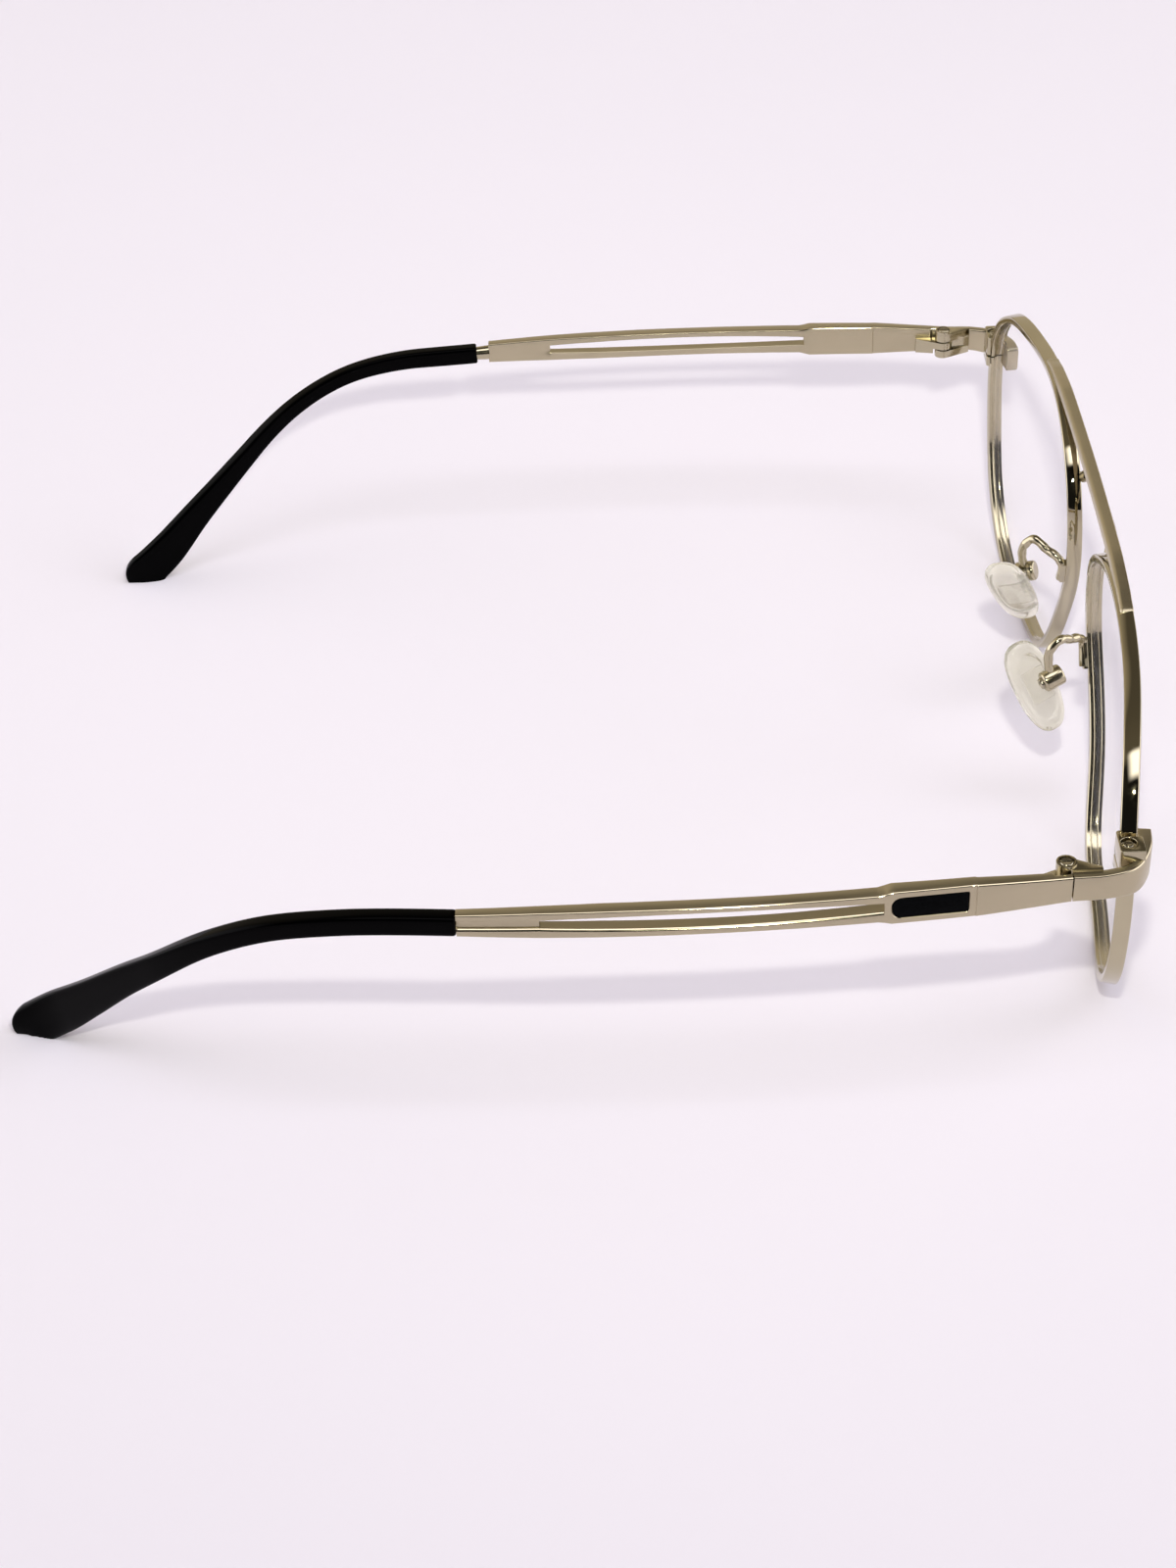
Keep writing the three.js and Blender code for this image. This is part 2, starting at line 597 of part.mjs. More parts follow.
// Inlay outline: large round rear end, nearly square front end, grown by a gap for its pocket
function inlaySolid(grow, depth) {
  const x = INLAY_LENGTH / 2 + grow;
  const y = INLAY_HEIGHT / 2 + grow;
  const rear = INLAY_ROUND + grow;
  const front = INLAY_CORNER;
  const shape = new THREE.Shape();
  shape.moveTo(front - x, -y);
  shape.lineTo(x - rear, -y);
  shape.absarc(x - rear, rear - y, rear, -Math.PI / 2, 0);
  shape.absarc(x - rear, y - rear, rear, 0, Math.PI / 2);
  shape.lineTo(front - x, y);
  shape.lineTo(-x, y - front);
  shape.lineTo(-x, front - y);
  const options = { depth: INLAY_DEPTH + depth, curveSegments: 6, bevelEnabled: false };
  const solid = new THREE.ExtrudeGeometry(shape, options).translate(0, 0, -INLAY_DEPTH);
  const place = PANEL_START + INLAY_BACK + INLAY_LENGTH / 2;
  const turn = Math.atan(sideAt(-place + 0.5) - sideAt(-place - 0.5));
  const rearward = vec(-Math.cos(turn), -Math.sin(turn), 0);
  const up = vec(0, 0, 1);
  const basis = new THREE.Matrix4().makeBasis(rearward, up, rearward.clone().cross(up));
  basis.setPosition(-place, sideAt(-place), middleAt(-place));
  return solid.applyMatrix4(basis);
}

function inlay() {
  return inlaySolid(0, -SEAT_GAP).translate(0, SEAT_GAP, 0);
}

// Tip's centre line: straight behind the ear, bent down, hooked inward, ending on the table
class TipCurve extends THREE.Curve {
  constructor(from, to) {
    super();
    this.from = from;
    this.to = to;
  }

  getPoint(share, target = vec()) {
    const s = lerp(this.from, this.to, share);
    const bend = Math.max(0, s - TIP_STRAIGHT);
    const turned = Math.min(bend / TIP_BEND_RADIUS, TIP_BEND);
    const slope = Math.max(0, bend - TIP_BEND * TIP_BEND_RADIUS);
    const straight = Math.min(s, TIP_STRAIGHT);
    const back = straight + TIP_BEND_RADIUS * Math.sin(turned) + slope * Math.cos(TIP_BEND);
    const down = TIP_BEND_RADIUS * (1 - Math.cos(turned)) + slope * Math.sin(TIP_BEND);
    const hooked = (TIP_BEND_RADIUS * turned ** 2) / (2 * TIP_BEND) + slope;
    const inward = TIP_SPLAY_RATIO * s + TIP_HOOK_RATIO * hooked;
    const root = sideAt(-TEMPLE_BODY) - TEMPLE_WALL / 2;
    return target.set(-TEMPLE_BODY - back, root - inward, middleAt(-TEMPLE_BODY) - down);
  }
}

const bendDrop = TIP_BEND_RADIUS * (1 - Math.cos(TIP_BEND));
const slopeLength = (middleAt(-TEMPLE_BODY) - bendDrop - TIP_END_HEIGHT) / Math.sin(TIP_BEND);
const TIP_LENGTH = TIP_STRAIGHT + TIP_BEND * TIP_BEND_RADIUS + slopeLength;

function temple() {
  const core = rod(new TipCurve(-1, CORE_LENGTH), CORE_RADIUS, 16);
  const beam = join(templeBeam(), core);
  const through = 2 * PANEL_WALL;
  const recess = [RECESS_HEIGHT, RECESS_HEIGHT, RECESS_HEIGHT];
  return cut(
    beam,
    bowedCutter(SLOT_START, SLOT_END, SLOT_HEIGHTS, -through, through),
    bowedCutter(SLOT_END - SEAT_GAP, TEMPLE_BODY + 1, recess, -RECESS_DEPTH, through),
    inlaySolid(SEAT_GAP, 1),
  );
}

// Sleeve with a blind bore over the temple's core, widening to a paddle that is flat on the table
function tip(back) {
  const curve = new TipCurve(back, TIP_LENGTH);
  const shares = [0, 0.004, 0.08, 0.17, 0.26, 0.35, 0.44, 0.53, 0.62, 0.71, 0.79, 0.86, 0.92, 0.965, 0.99, 1];
  const [paddleFrom, paddleTo] = PADDLE_SHARES;
  const rings = shares.map((share) => {
    const widen = smoothstep(share, paddleFrom, paddleTo);
    const round = Math.sqrt(1.02 - (Math.max(0, share - paddleTo) / (1 - paddleTo)) ** 2);
    const lip = share === 0 ? TIP_LIP : 1;
    const high = lerp(TIP_HALF_HEIGHT, PADDLE_HALF_HEIGHT, widen) * round * lip;
    const wide = lerp(TIP_HALF_WIDTH, PADDLE_HALF_WIDTH, widen) * lerp(0.5, 1, Math.min(1, round)) * lip;
    const along = curve.getTangent(share);
    const across = vec(0, 0, 1).cross(along).normalize();
    const up = along.clone().cross(across);
    const sides = 12;
    return Array.from({ length: sides }, (_, i) => {
      const angle = ((i + 0.5) / sides) * 2 * Math.PI;
      const square = (value) => Math.sign(value) * Math.abs(value) ** TIP_SQUARENESS;
      const p = curve.getPoint(share).addScaledVector(up, high * square(Math.sin(angle)));
      return p.addScaledVector(across, wide * square(Math.cos(angle)));
    });
  });
  const bore = rod(new TipCurve(-1, CORE_LENGTH + 2 * SEAT_GAP), CORE_RADIUS + RUNNING_GAP, 16);
  const under = 2 * TIP_LENGTH;
  const table = new THREE.BoxGeometry(under, under, under);
  table.translate(-TEMPLE_BODY - under / 2, 0, -under / 2);
  return cut(loft(rings), bore, table);
}

// Bridges

function topBar() {
  const barTop = RIM_TOP + SEAT_GAP + BAR_THICKNESS;
  const crown = worldFrame(outlineAtHeight(EYE.z + EYE_HEIGHT * 0.49, 0.1, 0.3)).centre.x;
  const rings = [];
  const steps = 20;
  for (let i = 0; i <= steps; i += 1) {
    const share = lerp(-1, 1, i / steps);
    const x = crown + BAR_AHEAD + BAR_BOW * (1 - share ** 2);
    const y = (share * BAR_LENGTH) / 2;
    const fall = smoothstep(Math.abs(share), ...BAR_FALL_SHARES);
    const high = barTop - BAR_END_FALL * fall;
    const low = barTop - BAR_THICKNESS - BAR_END_DROP * fall;
    const at = (forward, z) => vec(x + forward, y, z);
    const reach = BAR_DEPTH / 2;
    rings.push([
      at(-reach, low), at(reach, low), at(reach, high - RIM_EDGE),
      at(reach - RIM_EDGE, high), at(RIM_EDGE - reach, high), at(-reach, high - RIM_EDGE),
    ]);
  }
  const seat = eyewireSeat();
  return cut(loft(rings), seat, mirrored(seat));
}

function lowBridge() {
  const { centre, out, forward } = worldFrame(outlineAtHeight(LOW_BRIDGE_HEIGHT, ...NOSE_SIDE));
  const start = centre.clone().addScaledVector(forward, halfDepth + LOW_BRIDGE_RADIUS * 0.6);
  const rise = centre.clone().addScaledVector(out, LOW_BRIDGE_STEP);
  rise.addScaledVector(forward, LOW_BRIDGE_FORWARD * 0.8);
  const crown = vec(centre.x + LOW_BRIDGE_FORWARD, 0, LOW_BRIDGE_HEIGHT + LOW_BRIDGE_RISE);
  const flip = (p) => vec(p.x, -p.y, p.z);
  const path = new THREE.CatmullRomCurve3([start, rise, crown, flip(rise), flip(start)]);
  const seat = eyewireSeat();
  return cut(rod(path, LOW_BRIDGE_RADIUS, 20, 10), seat, mirrored(seat));
}

// Nose pad, drawn in its own frame: x forward across the pad, y up along it, z toward the nose

const padFace = PAD_LEAN.clone().addScaledVector(PAD_UP, -PAD_LEAN.dot(PAD_UP)).normalize();
const padForward = PAD_UP.clone().cross(padFace);
const padBasis = new THREE.Matrix4().makeBasis(padForward, PAD_UP, padFace).setPosition(PAD_CENTRE);
const PAD_PIVOT = vec(PIVOT_FORWARD, PIVOT_UP, -PIVOT_BEHIND).applyMatrix4(padBasis);

function padCore(grow = 0) {
  const wall = PAD_CORE_WALL + 2 * grow;
  const sheet = new THREE.BoxGeometry(PAD_CORE_WIDTH + 2 * grow, PAD_CORE_LENGTH + 2 * grow, wall);
  sheet.translate(PAD_CORE_FORWARD, 0, 0);
  const lugWall = LUG_WALL + 2 * grow;
  const neck = new THREE.BoxGeometry(lugWall, 2 * LUG_RADIUS, PIVOT_BEHIND);
  neck.translate(PIVOT_FORWARD, PIVOT_UP, -PIVOT_BEHIND / 2);
  const eye = new THREE.CylinderGeometry(LUG_RADIUS, LUG_RADIUS, lugWall, 16).rotateZ(Math.PI / 2);
  eye.translate(PIVOT_FORWARD, PIVOT_UP, -PIVOT_BEHIND);
  return join(sheet, neck, eye);
}

function padCross(radius, length, sides = 14) {
  const geometry = new THREE.CylinderGeometry(radius, radius, length, sides).rotateZ(Math.PI / 2);
  return geometry.translate(PIVOT_FORWARD, PIVOT_UP, -PIVOT_BEHIND);
}

function padInsert() {
  return cut(padCore(), padCross(PAD_SCREW_RADIUS + RUNNING_GAP, BOX_LENGTH)).applyMatrix4(padBasis);
}

// Soft teardrop cushion moulded round the insert
function nosePad() {
  const sides = 22;
  const layers = [
    // height toward the nose, share of the outline
    [-PAD_BACK, 0.82], [-PAD_BACK * 0.6, 0.96], [0, 1], [PAD_CROWN * 0.5, 0.93],
    [PAD_CROWN * 0.85, 0.72], [PAD_CROWN, 0.4],
  ];
  const rings = layers.map(([height, share]) => Array.from({ length: sides }, (_, i) => {
    const angle = (i / sides) * 2 * Math.PI;
    const taper = 1 + PAD_TAPER * Math.sin(angle);
    const x = PAD_HALF_WIDTH * share * taper * Math.cos(angle);
    return vec(x, PAD_HALF_LENGTH * share * Math.sin(angle), height);
  }));
  const neckHole = new THREE.BoxGeometry(LUG_WALL + 2 * SEAT_GAP, 2 * (LUG_RADIUS + SEAT_GAP), PIVOT_BEHIND);
  neckHole.translate(PIVOT_FORWARD, PIVOT_UP, -PIVOT_BEHIND / 2);
  return cut(loft(rings), padCore(SEAT_GAP), neckHole).applyMatrix4(padBasis);
}

// Box: a barrel across the pad, slotted for the insert's lug, on the end of the pad arm
function padBox() {
  const slotWidth = LUG_WALL + 2 * RUNNING_GAP;
  const slotFloor = LUG_RADIUS + SEAT_GAP;
  const slotDeep = slotFloor + 2 * BOX_RADIUS;
  const slot = new THREE.BoxGeometry(slotWidth, 4 * BOX_RADIUS, slotDeep);
  slot.translate(PIVOT_FORWARD, PIVOT_UP, -PIVOT_BEHIND - slotFloor + slotDeep / 2);
  const bore = padCross(PAD_SCREW_RADIUS + RUNNING_GAP, 2 * BOX_LENGTH);
  return cut(padCross(BOX_RADIUS, BOX_LENGTH, 18), slot, bore).applyMatrix4(padBasis);
}

function padScrew() {
  const pin = screw(PAD_SCREW_RADIUS, BOX_LENGTH).rotateY(-Math.PI / 2);
  pin.translate(PIVOT_FORWARD - BOX_LENGTH / 2 - SEAT_GAP, PIVOT_UP, -PIVOT_BEHIND);
  return pin.applyMatrix4(padBasis);
}

// Arm: a wire with its foot along the back of the rim, looped up and back to the box
function padArm() {
  const foot = (height) => {
    const { centre, forward } = worldFrame(outlineAtHeight(height, ...NOSE_SIDE));
    return centre.addScaledVector(forward, -halfDepth - SEAT_GAP - ARM_RADIUS);
  };
  const low = foot(ARM_FOOT_LOW);
  const high = foot(ARM_FOOT_HIGH);
  const crest = high.clone().lerp(PAD_PIVOT, 0.85).setZ(ARM_CREST);
  const path = new THREE.CatmullRomCurve3([
    low, high, high.clone().lerp(crest, 0.2).setZ(lerp(high.z, ARM_CREST, 0.4)),
    high.clone().lerp(crest, 0.5).setZ(lerp(high.z, ARM_CREST, 0.6)), crest,
    PAD_PIVOT.clone().lerp(crest, 0.75).add(ARM_BELLY),
    PAD_PIVOT.clone().lerp(crest, 0.4).addScaledVector(ARM_BELLY, 0.85), PAD_PIVOT,
  ]);
  const seat = padCross(BOX_RADIUS + SEAT_GAP, BOX_LENGTH + 2, 18).applyMatrix4(padBasis);
  return cut(rod(path, ARM_RADIUS, 30), seat, eyewireSeat());
}

// Finishes

const finish = (color, metalness, roughness) => () => (
  new THREE.MeshStandardMaterial({ color, metalness, roughness })
);
const satinGold = finish(0xb3a588, 0.9, 0.38);
const polishedGold = finish(0xb8ab8e, 1, 0.18);
const screwGold = finish(0x9c8f74, 1, 0.25);
const blackPlastic = finish(0x0b0b0c, 0, 0.2);
const mattBlack = finish(0x101011, 0, 0.75);
const silicone = finish(0xdcd5c6, 0, 0.45);
const clearPlastic = () => {
  const material = finish(0xf2f4f2, 0, 0.05)();
  material.transparent = true;
  material.opacity = 0.2;
  return material;
};

// Assembly: the front carries the rims, the temples turn about the hinge screws and the pads rock

const glasses = new THREE.Group();

function addMesh(parent, name, geometry, material) {
  const mesh = new THREE.Mesh(geometry, material());
  mesh.name = name;
  parent.add(mesh);
}

const hingePieces = [
  ['front_hinge_leaf', frontLeaf(), polishedGold],
  ['hinge_screw', hingeScrew(), screwGold],
];
const frontPieces = [
  ['rim', eyewire(), polishedGold],
  ['lens', lens(), clearPlastic],
  ['upper_rim_lock', lockBlock(LOCK_HEIGHT + LOCK_SPLIT / 2, lockTop), polishedGold],
  ['lower_rim_lock', lockBlock(lockBottom, LOCK_HEIGHT - LOCK_SPLIT / 2), polishedGold],
  ['rim_lock_screw', lockScrew(), screwGold],
  ['end_piece', endPiece(), satinGold],
  ['pad_arm', padArm(), polishedGold],
  ['pad_box', padBox(), polishedGold],
  ['pad_screw', padScrew(), screwGold],
];
const padPieces = [
  ['nose_pad', nosePad(), silicone],
  ['pad_insert', padInsert(), clearPlastic],
];
const templePieces = [
  ['temple', temple(), satinGold],
  ['temple_hinge_leaf', templeLeaf(), polishedGold],
  ['temple_inlay', inlay(), mattBlack],
];
const sides = [
  { name: 'left', sign: 1, tipBack: LEFT_TIP_BACK },
  { name: 'right', sign: -1, tipBack: RIGHT_TIP_BACK },
];

for (const { name, sign, tipBack } of sides) {
  const handed = (geometry) => (sign > 0 ? bare(geometry) : mirrored(geometry));
  const addAll = (parent, pieces) => pieces.forEach(([piece, geometry, material]) => {
    addMesh(parent, `${name}_${piece}`, handed(geometry), material);
  });
  const hinge = new THREE.Group();
  hinge.position.set(0, sign * HINGE_Y, 0);
  addAll(glasses, frontPieces);
  addAll(glasses, padPieces);
  addAll(hinge, hingePieces);
  addAll(hinge, templePieces);
  addAll(hinge, [['temple_tip', tip(tipBack), blackPlastic]]);
  glasses.add(hinge);
}
addMesh(glasses, 'top_bar', bare(topBar()), satinGold);
addMesh(glasses, 'lower_bridge', bare(lowBridge()), polishedGold);

// Origin at the middle of the footprint, on the table
const bounds = new THREE.Box3().setFromObject(glasses);
glasses.position.x = -(bounds.min.x + bounds.max.x) / 2;

export default glasses;
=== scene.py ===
import json

import bmesh
import bpy
import numpy as np
from mathutils import Matrix
from mathutils.geometry import convex_hull_2d


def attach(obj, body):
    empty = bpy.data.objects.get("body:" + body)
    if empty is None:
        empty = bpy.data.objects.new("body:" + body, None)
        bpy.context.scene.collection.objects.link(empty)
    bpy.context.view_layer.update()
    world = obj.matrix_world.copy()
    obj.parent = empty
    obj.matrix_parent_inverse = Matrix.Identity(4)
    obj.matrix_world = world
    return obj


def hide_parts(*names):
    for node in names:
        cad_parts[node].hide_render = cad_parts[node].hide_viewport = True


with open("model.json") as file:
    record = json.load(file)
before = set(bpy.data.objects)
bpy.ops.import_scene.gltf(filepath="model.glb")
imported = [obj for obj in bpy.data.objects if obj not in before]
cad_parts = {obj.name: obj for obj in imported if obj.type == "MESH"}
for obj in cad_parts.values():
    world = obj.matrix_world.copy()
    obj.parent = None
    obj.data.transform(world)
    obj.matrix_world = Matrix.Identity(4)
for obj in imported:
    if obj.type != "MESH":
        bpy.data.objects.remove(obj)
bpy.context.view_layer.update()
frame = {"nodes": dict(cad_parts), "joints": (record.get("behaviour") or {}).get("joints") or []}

# Eyewires. Each rim is a strip of nickel silver rolled with a lens groove, bent to a teardrop that
# follows the lens curve, and cut at the temple side where the rim lock closes it.
# It is plated pale gold and polished, with softly rounded outer edges.

MM = 0.001
MERGE = 1e-7
SIDES = {"left": 1, "right": -1}
hinge_joint = next(joint for joint in frame["joints"] if joint["name"] == "left_temple_hinge")
HINGE_X, HINGE_Y, HINGE_HEIGHT = np.array(hinge_joint["pos_m"]) / MM

EYE_WIDTH = 56.0
EYE_HEIGHT = 46.0
EYE_FROM_MIDDLE = 36.8
FRONT_REACH = 13.0
LENS_CURVE = 147.0
FACE_FORM = np.tan(np.radians(4.5))
RIM_WALL = 1.1
RIM_DEPTH = 2.1
RIM_EDGE = 0.22
RIM_ARC = 4
LIP_EDGE = 0.08
LIP_WEAR = 0.6
GROOVE_DEPTH = 0.12
GROOVE_WIDTH = 1.0
GROOVE_FLOOR_SHARE = 0.75
LOCK_SPLIT = 0.3
RIM_LENGTH = 165.0
RIM_STATIONS = 320
RIM_SAMPLES = 60
TEMPLE_SIDE = (-0.1, 0.12)
TEARDROP = [
    # shares of half the width and height, from the temple side over the top
    (0.98, 0.04), (0.92, 0.53), (0.66, 0.83), (0.2, 0.945), (-0.42, 1), (-0.88, 0.76),
    (-0.98, 0.25), (-0.72, -0.38), (-0.43, -0.89), (0.05, -1), (0.52, -0.92), (0.85, -0.54),
]


def in_frame(points, side=1):
    """Millimetres from the hinge line to metres in the row frame, mirrored for the right side."""
    return (np.asarray(points, float) * (1, side, 1) + (HINGE_X, 0, 0)) * MM


def run_along(path):
    """Length along a path at each of its points."""
    return np.concatenate([[0], np.cumsum(np.linalg.norm(np.diff(path, axis=0), axis=1))])


def smooth_path(points, count, closed=False, power=0.5):
    """Evenly spaced points on a smooth curve through the given ones."""
    p = np.asarray(points, float)
    ends = (p[-1:], p[:2]) if closed else (2 * p[:1] - p[1:2], 2 * p[-1:] - p[-2:-1])
    knots = np.vstack([ends[0], p, ends[1]])
    t = np.linspace(0, 1, 60, endpoint=False)[:, None]
    spans = []
    for a, b, c, d in zip(knots, knots[1:], knots[2:], knots[3:]):
        before, here, after = (np.linalg.norm(v) ** power for v in (b - a, c - b, d - c))
        leave = ((b - a) / before - (c - a) / (before + here) + (c - b) / here) * here
        arrive = ((c - b) / here - (d - b) / (here + after) + (d - c) / after) * here
        spans.append(
            b * (2 * t**3 - 3 * t**2 + 1) + leave * (t**3 - 2 * t**2 + t)
            + c * (3 * t**2 - 2 * t**3) + arrive * (t**3 - t**2)
        )
    fine = np.vstack(spans + [p[:1] if closed else p[-1:]])
    run = run_along(fine)
    stops = np.linspace(0, run[-1], count, endpoint=not closed)
    return np.column_stack([np.interp(stops, run, column) for column in fine.T])


def unit(vectors):
    return vectors / np.linalg.norm(vectors, axis=-1, keepdims=True)


teardrop = smooth_path(TEARDROP, 2400, closed=True, power=0)
teardrop -= (teardrop.min(0) + teardrop.max(0)) / 2
teardrop *= (EYE_WIDTH, EYE_HEIGHT) / np.ptp(teardrop, axis=0)


def teardrop_at(t):
    shares = np.arange(len(teardrop)) / len(teardrop)
    return np.column_stack([np.interp(np.mod(t, 1), shares, c, period=1) for c in teardrop.T])


def on_lens(p):
    return np.column_stack([-(p**2).sum(1) / (2 * LENS_CURVE) - p[:, 0] * FACE_FORM, p])


def rim_frame(t, step=1e-3):
    """Centre line of the rim about the eye's middle, with its outward and forward directions."""
    t = np.atleast_1d(t)
    p = teardrop_at(t)
    along = unit(on_lens(teardrop_at(t + step)) - on_lens(teardrop_at(t - step)))
    tilt = p / LENS_CURVE + (FACE_FORM, 0)
    forward = unit(np.column_stack([np.ones(len(p)), tilt]))
    return on_lens(p), unit(np.cross(along, forward)), forward


rim_centre, rim_out, rim_forward = rim_frame(np.arange(RIM_SAMPLES) / RIM_SAMPLES)
rim_edge_points = [
    rim_centre + rim_out * RIM_WALL / 2 + rim_forward * f
    for f in (RIM_DEPTH / 2 - RIM_EDGE, RIM_EDGE - RIM_DEPTH / 2)
]
eye_height = -min(points[:, 2].min() for points in rim_edge_points)
EYE = np.array([FRONT_REACH, EYE_FROM_MIDDLE, eye_height])
RIM_TOP = EYE[2] + max(points[:, 2].max() for points in rim_edge_points)


def rim_place(height, first, last):
    """Place on the teardrop at a height above the table, searched between two places on it."""
    t = np.linspace(first, last, 400)
    heights = EYE[2] + teardrop_at(t)[:, 1]
    order = np.argsort(heights)
    return np.interp(height, heights[order], t[order])


lock_place = rim_place(HINGE_HEIGHT, *TEMPLE_SIDE)


def feed(tree, kind, feeds, **settings):
    """One node with its settings, its inputs linked to nodes or sockets or set to values."""
    node = tree.nodes.new(kind)
    for name, value in settings.items():
        setattr(node, name, value)
    for key, value in feeds.items():
        if isinstance(value, bpy.types.Node):
            value = value.outputs[0]
        if isinstance(value, bpy.types.NodeSocket):
            tree.links.new(value, node.inputs[key])
        else:
            node.inputs[key].default_value = value
    return node


def geometry_tree(name, inputs):
    """An empty Geometry Nodes tree, its inputs' identifiers and the node that gives them."""
    tree = bpy.data.node_groups.new(name, "GeometryNodeTree")
    sockets = {}
    for label, kind in inputs.items():
        socket = tree.interface.new_socket(label, in_out="INPUT", socket_type=f"NodeSocket{kind}")
        sockets[label] = socket.identifier
    tree.interface.new_socket("Made", in_out="OUTPUT", socket_type="NodeSocketGeometry")
    return tree, sockets, feed(tree, "NodeGroupInput", {})


def end_tree(tree, geometry, finish):
    """The last nodes of a tree: real geometry, with its material set."""
    real = feed(tree, "GeometryNodeRealizeInstances", {"Geometry": geometry})
    dressed = feed(tree, "GeometryNodeSetMaterial", {"Geometry": real, "Material": finish})
    feed(tree, "NodeGroupOutput", {0: dressed})


def held_vector(tree, label):
    """A direction or place that the mesh's points hold under a name."""
    reader = feed(tree, "GeometryNodeInputNamedAttribute", {"Name": label}, data_type="FLOAT_VECTOR")
    return reader.outputs["Attribute"]


def swept_wire_tree():
    """Carries a closed section along a path whose points hold the section's two directions."""
    tree, sockets, given = geometry_tree("swept_wire", {
        "Path": "Geometry", "Section": "Object", "Wall": "Float", "Depth": "Float",
        "Finish": "Material",
    })
    spot = feed(tree, "GeometryNodeInputPosition", {})
    shape = feed(tree, "GeometryNodeObjectInfo", {"Object": given.outputs["Section"]})
    curves = []
    for label, mesh in (("centre", given.outputs["Path"]), ("corner", shape.outputs["Geometry"])):
        curve = feed(tree, "GeometryNodeMeshToCurve", {"Mesh": mesh})
        curves.append(feed(
            tree, "GeometryNodeStoreNamedAttribute", {"Geometry": curve, "Name": label, "Value": spot},
            data_type="FLOAT_VECTOR",
        ))
    tube = feed(
        tree, "GeometryNodeCurveToMesh",
        {"Curve": curves[0], "Profile Curve": curves[1], "Fill Caps": True},
    )
    corner = feed(tree, "ShaderNodeSeparateXYZ", {0: held_vector(tree, "corner")})
    point = held_vector(tree, "centre")
    for axis, size, direction in (("X", "Wall", "across"), ("Y", "Depth", "rise")):
        reach = feed(
            tree, "ShaderNodeMath", {0: corner.outputs[axis], 1: given.outputs[size]},
            operation="MULTIPLY",
        )
        step = feed(
            tree, "ShaderNodeVectorMath", {0: held_vector(tree, direction), "Scale": reach},
            operation="SCALE",
        )
        point = feed(tree, "ShaderNodeVectorMath", {0: point, 1: step}, operation="ADD")
    placed = feed(tree, "GeometryNodeSetPosition", {"Geometry": tube, "Position": point})
    end_tree(tree, placed, given.outputs["Finish"])
    return tree, sockets


SWEPT_WIRE, SWEPT_SOCKETS = swept_wire_tree()


def new_object(name, data):
    thing = bpy.data.objects.new(name, data)
    bpy.context.scene.collection.objects.link(thing)
    return thing


def hold(mesh, label, values, kind="FLOAT"):
    """Keeps a number or a direction at each point of a mesh, under a name."""
    field = "value" if kind == "FLOAT" else "vector"
    held = mesh.attributes.new(label, kind, "POINT")
    held.data.foreach_set(field, np.asarray(values, np.float32).ravel())


def section_outline(name, corners, edge=None):
    """Closed flat outline in halves of the wall and depth, with a mark on its rounded edges."""
    mesh = bpy.data.meshes.new(name)
    count = len(corners)
    loop = [(i, (i + 1) % count) for i in range(count)]
    mesh.from_pydata([(x, y, 0) for x, y in corners], loop, [])
    hold(mesh, "edge", np.zeros(count) if edge is None else edge)
    return new_object(name, mesh)


def evaluated_mesh(thing):
    """Plain mesh of an object with its modifiers worked in and taken off."""
    graph = bpy.context.evaluated_depsgraph_get()
    mesh = bpy.data.meshes.new_from_object(
        thing.evaluated_get(graph), preserve_all_data_layers=True, depsgraph=graph
    )
    thing.modifiers.clear()
    thing.data = mesh


def finish_surface(thing, crease=32):
    """Outward faces, smooth shading, and sharp edges where the surface really turns."""
    mesh = thing.data
    work = bmesh.new()
    work.from_mesh(mesh)
    bmesh.ops.remove_doubles(work, verts=work.verts, dist=MERGE)
    bmesh.ops.recalc_face_normals(work, faces=work.faces)
    work.to_mesh(mesh)
    work.free()
    for name in ("centre", "corner", "across", "rise"):
        if name in mesh.attributes:
            mesh.attributes.remove(mesh.attributes[name])
    mesh.polygons.foreach_set("use_smooth", np.ones(len(mesh.polygons), bool))
    mesh.set_sharp_from_angle(angle=np.radians(crease))
    mesh.update()


def made_by(thing, tree, sockets, values):
    """The object with the plain mesh that a Geometry Nodes tree makes from it."""
    maker = thing.modifiers.new(tree.name, "NODES")
    maker.node_group = tree
    for label, value in values.items():
        maker[sockets[label]] = value
    evaluated_mesh(thing)
    finish_surface(thing)
    return thing


def swept(name, path, across, rise, section, wall, depth, finish, side=1):
    """One strip or wire along an open path, as a plain mesh."""
    mesh = bpy.data.meshes.new(name)
    mesh.from_pydata(in_frame(path, side), [(i, i + 1) for i in range(len(path) - 1)], [])
    for label, vectors in (("across", across), ("rise", rise)):
        hold(mesh, label, np.asarray(vectors) * (1, side, 1), "FLOAT_VECTOR")
    return made_by(new_object(name, mesh), SWEPT_WIRE, SWEPT_SOCKETS, {
        "Section": section, "Wall": wall / 2 * MM, "Depth": depth / 2 * MM, "Finish": finish,
    })


def dress(thing, body, slot, *nodes):
    """The piece rides on its body and stands for its solids; the slot is not used."""
    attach(thing, body)
    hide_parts(*nodes)


def new_material(name):
    """An empty node material, with its tree and the piece's own coordinates."""
    material = bpy.data.materials.new(name)
    material.use_nodes = True
    tree = material.node_tree
    tree.nodes.clear()
    return material, tree, feed(tree, "ShaderNodeTexCoord", {}).outputs["Object"]


def mottle(tree, place, scale, detail, **more):
    return feed(
        tree, "ShaderNodeTexNoise", {"Vector": place, "Scale": scale, "Detail": detail, **more}
    )


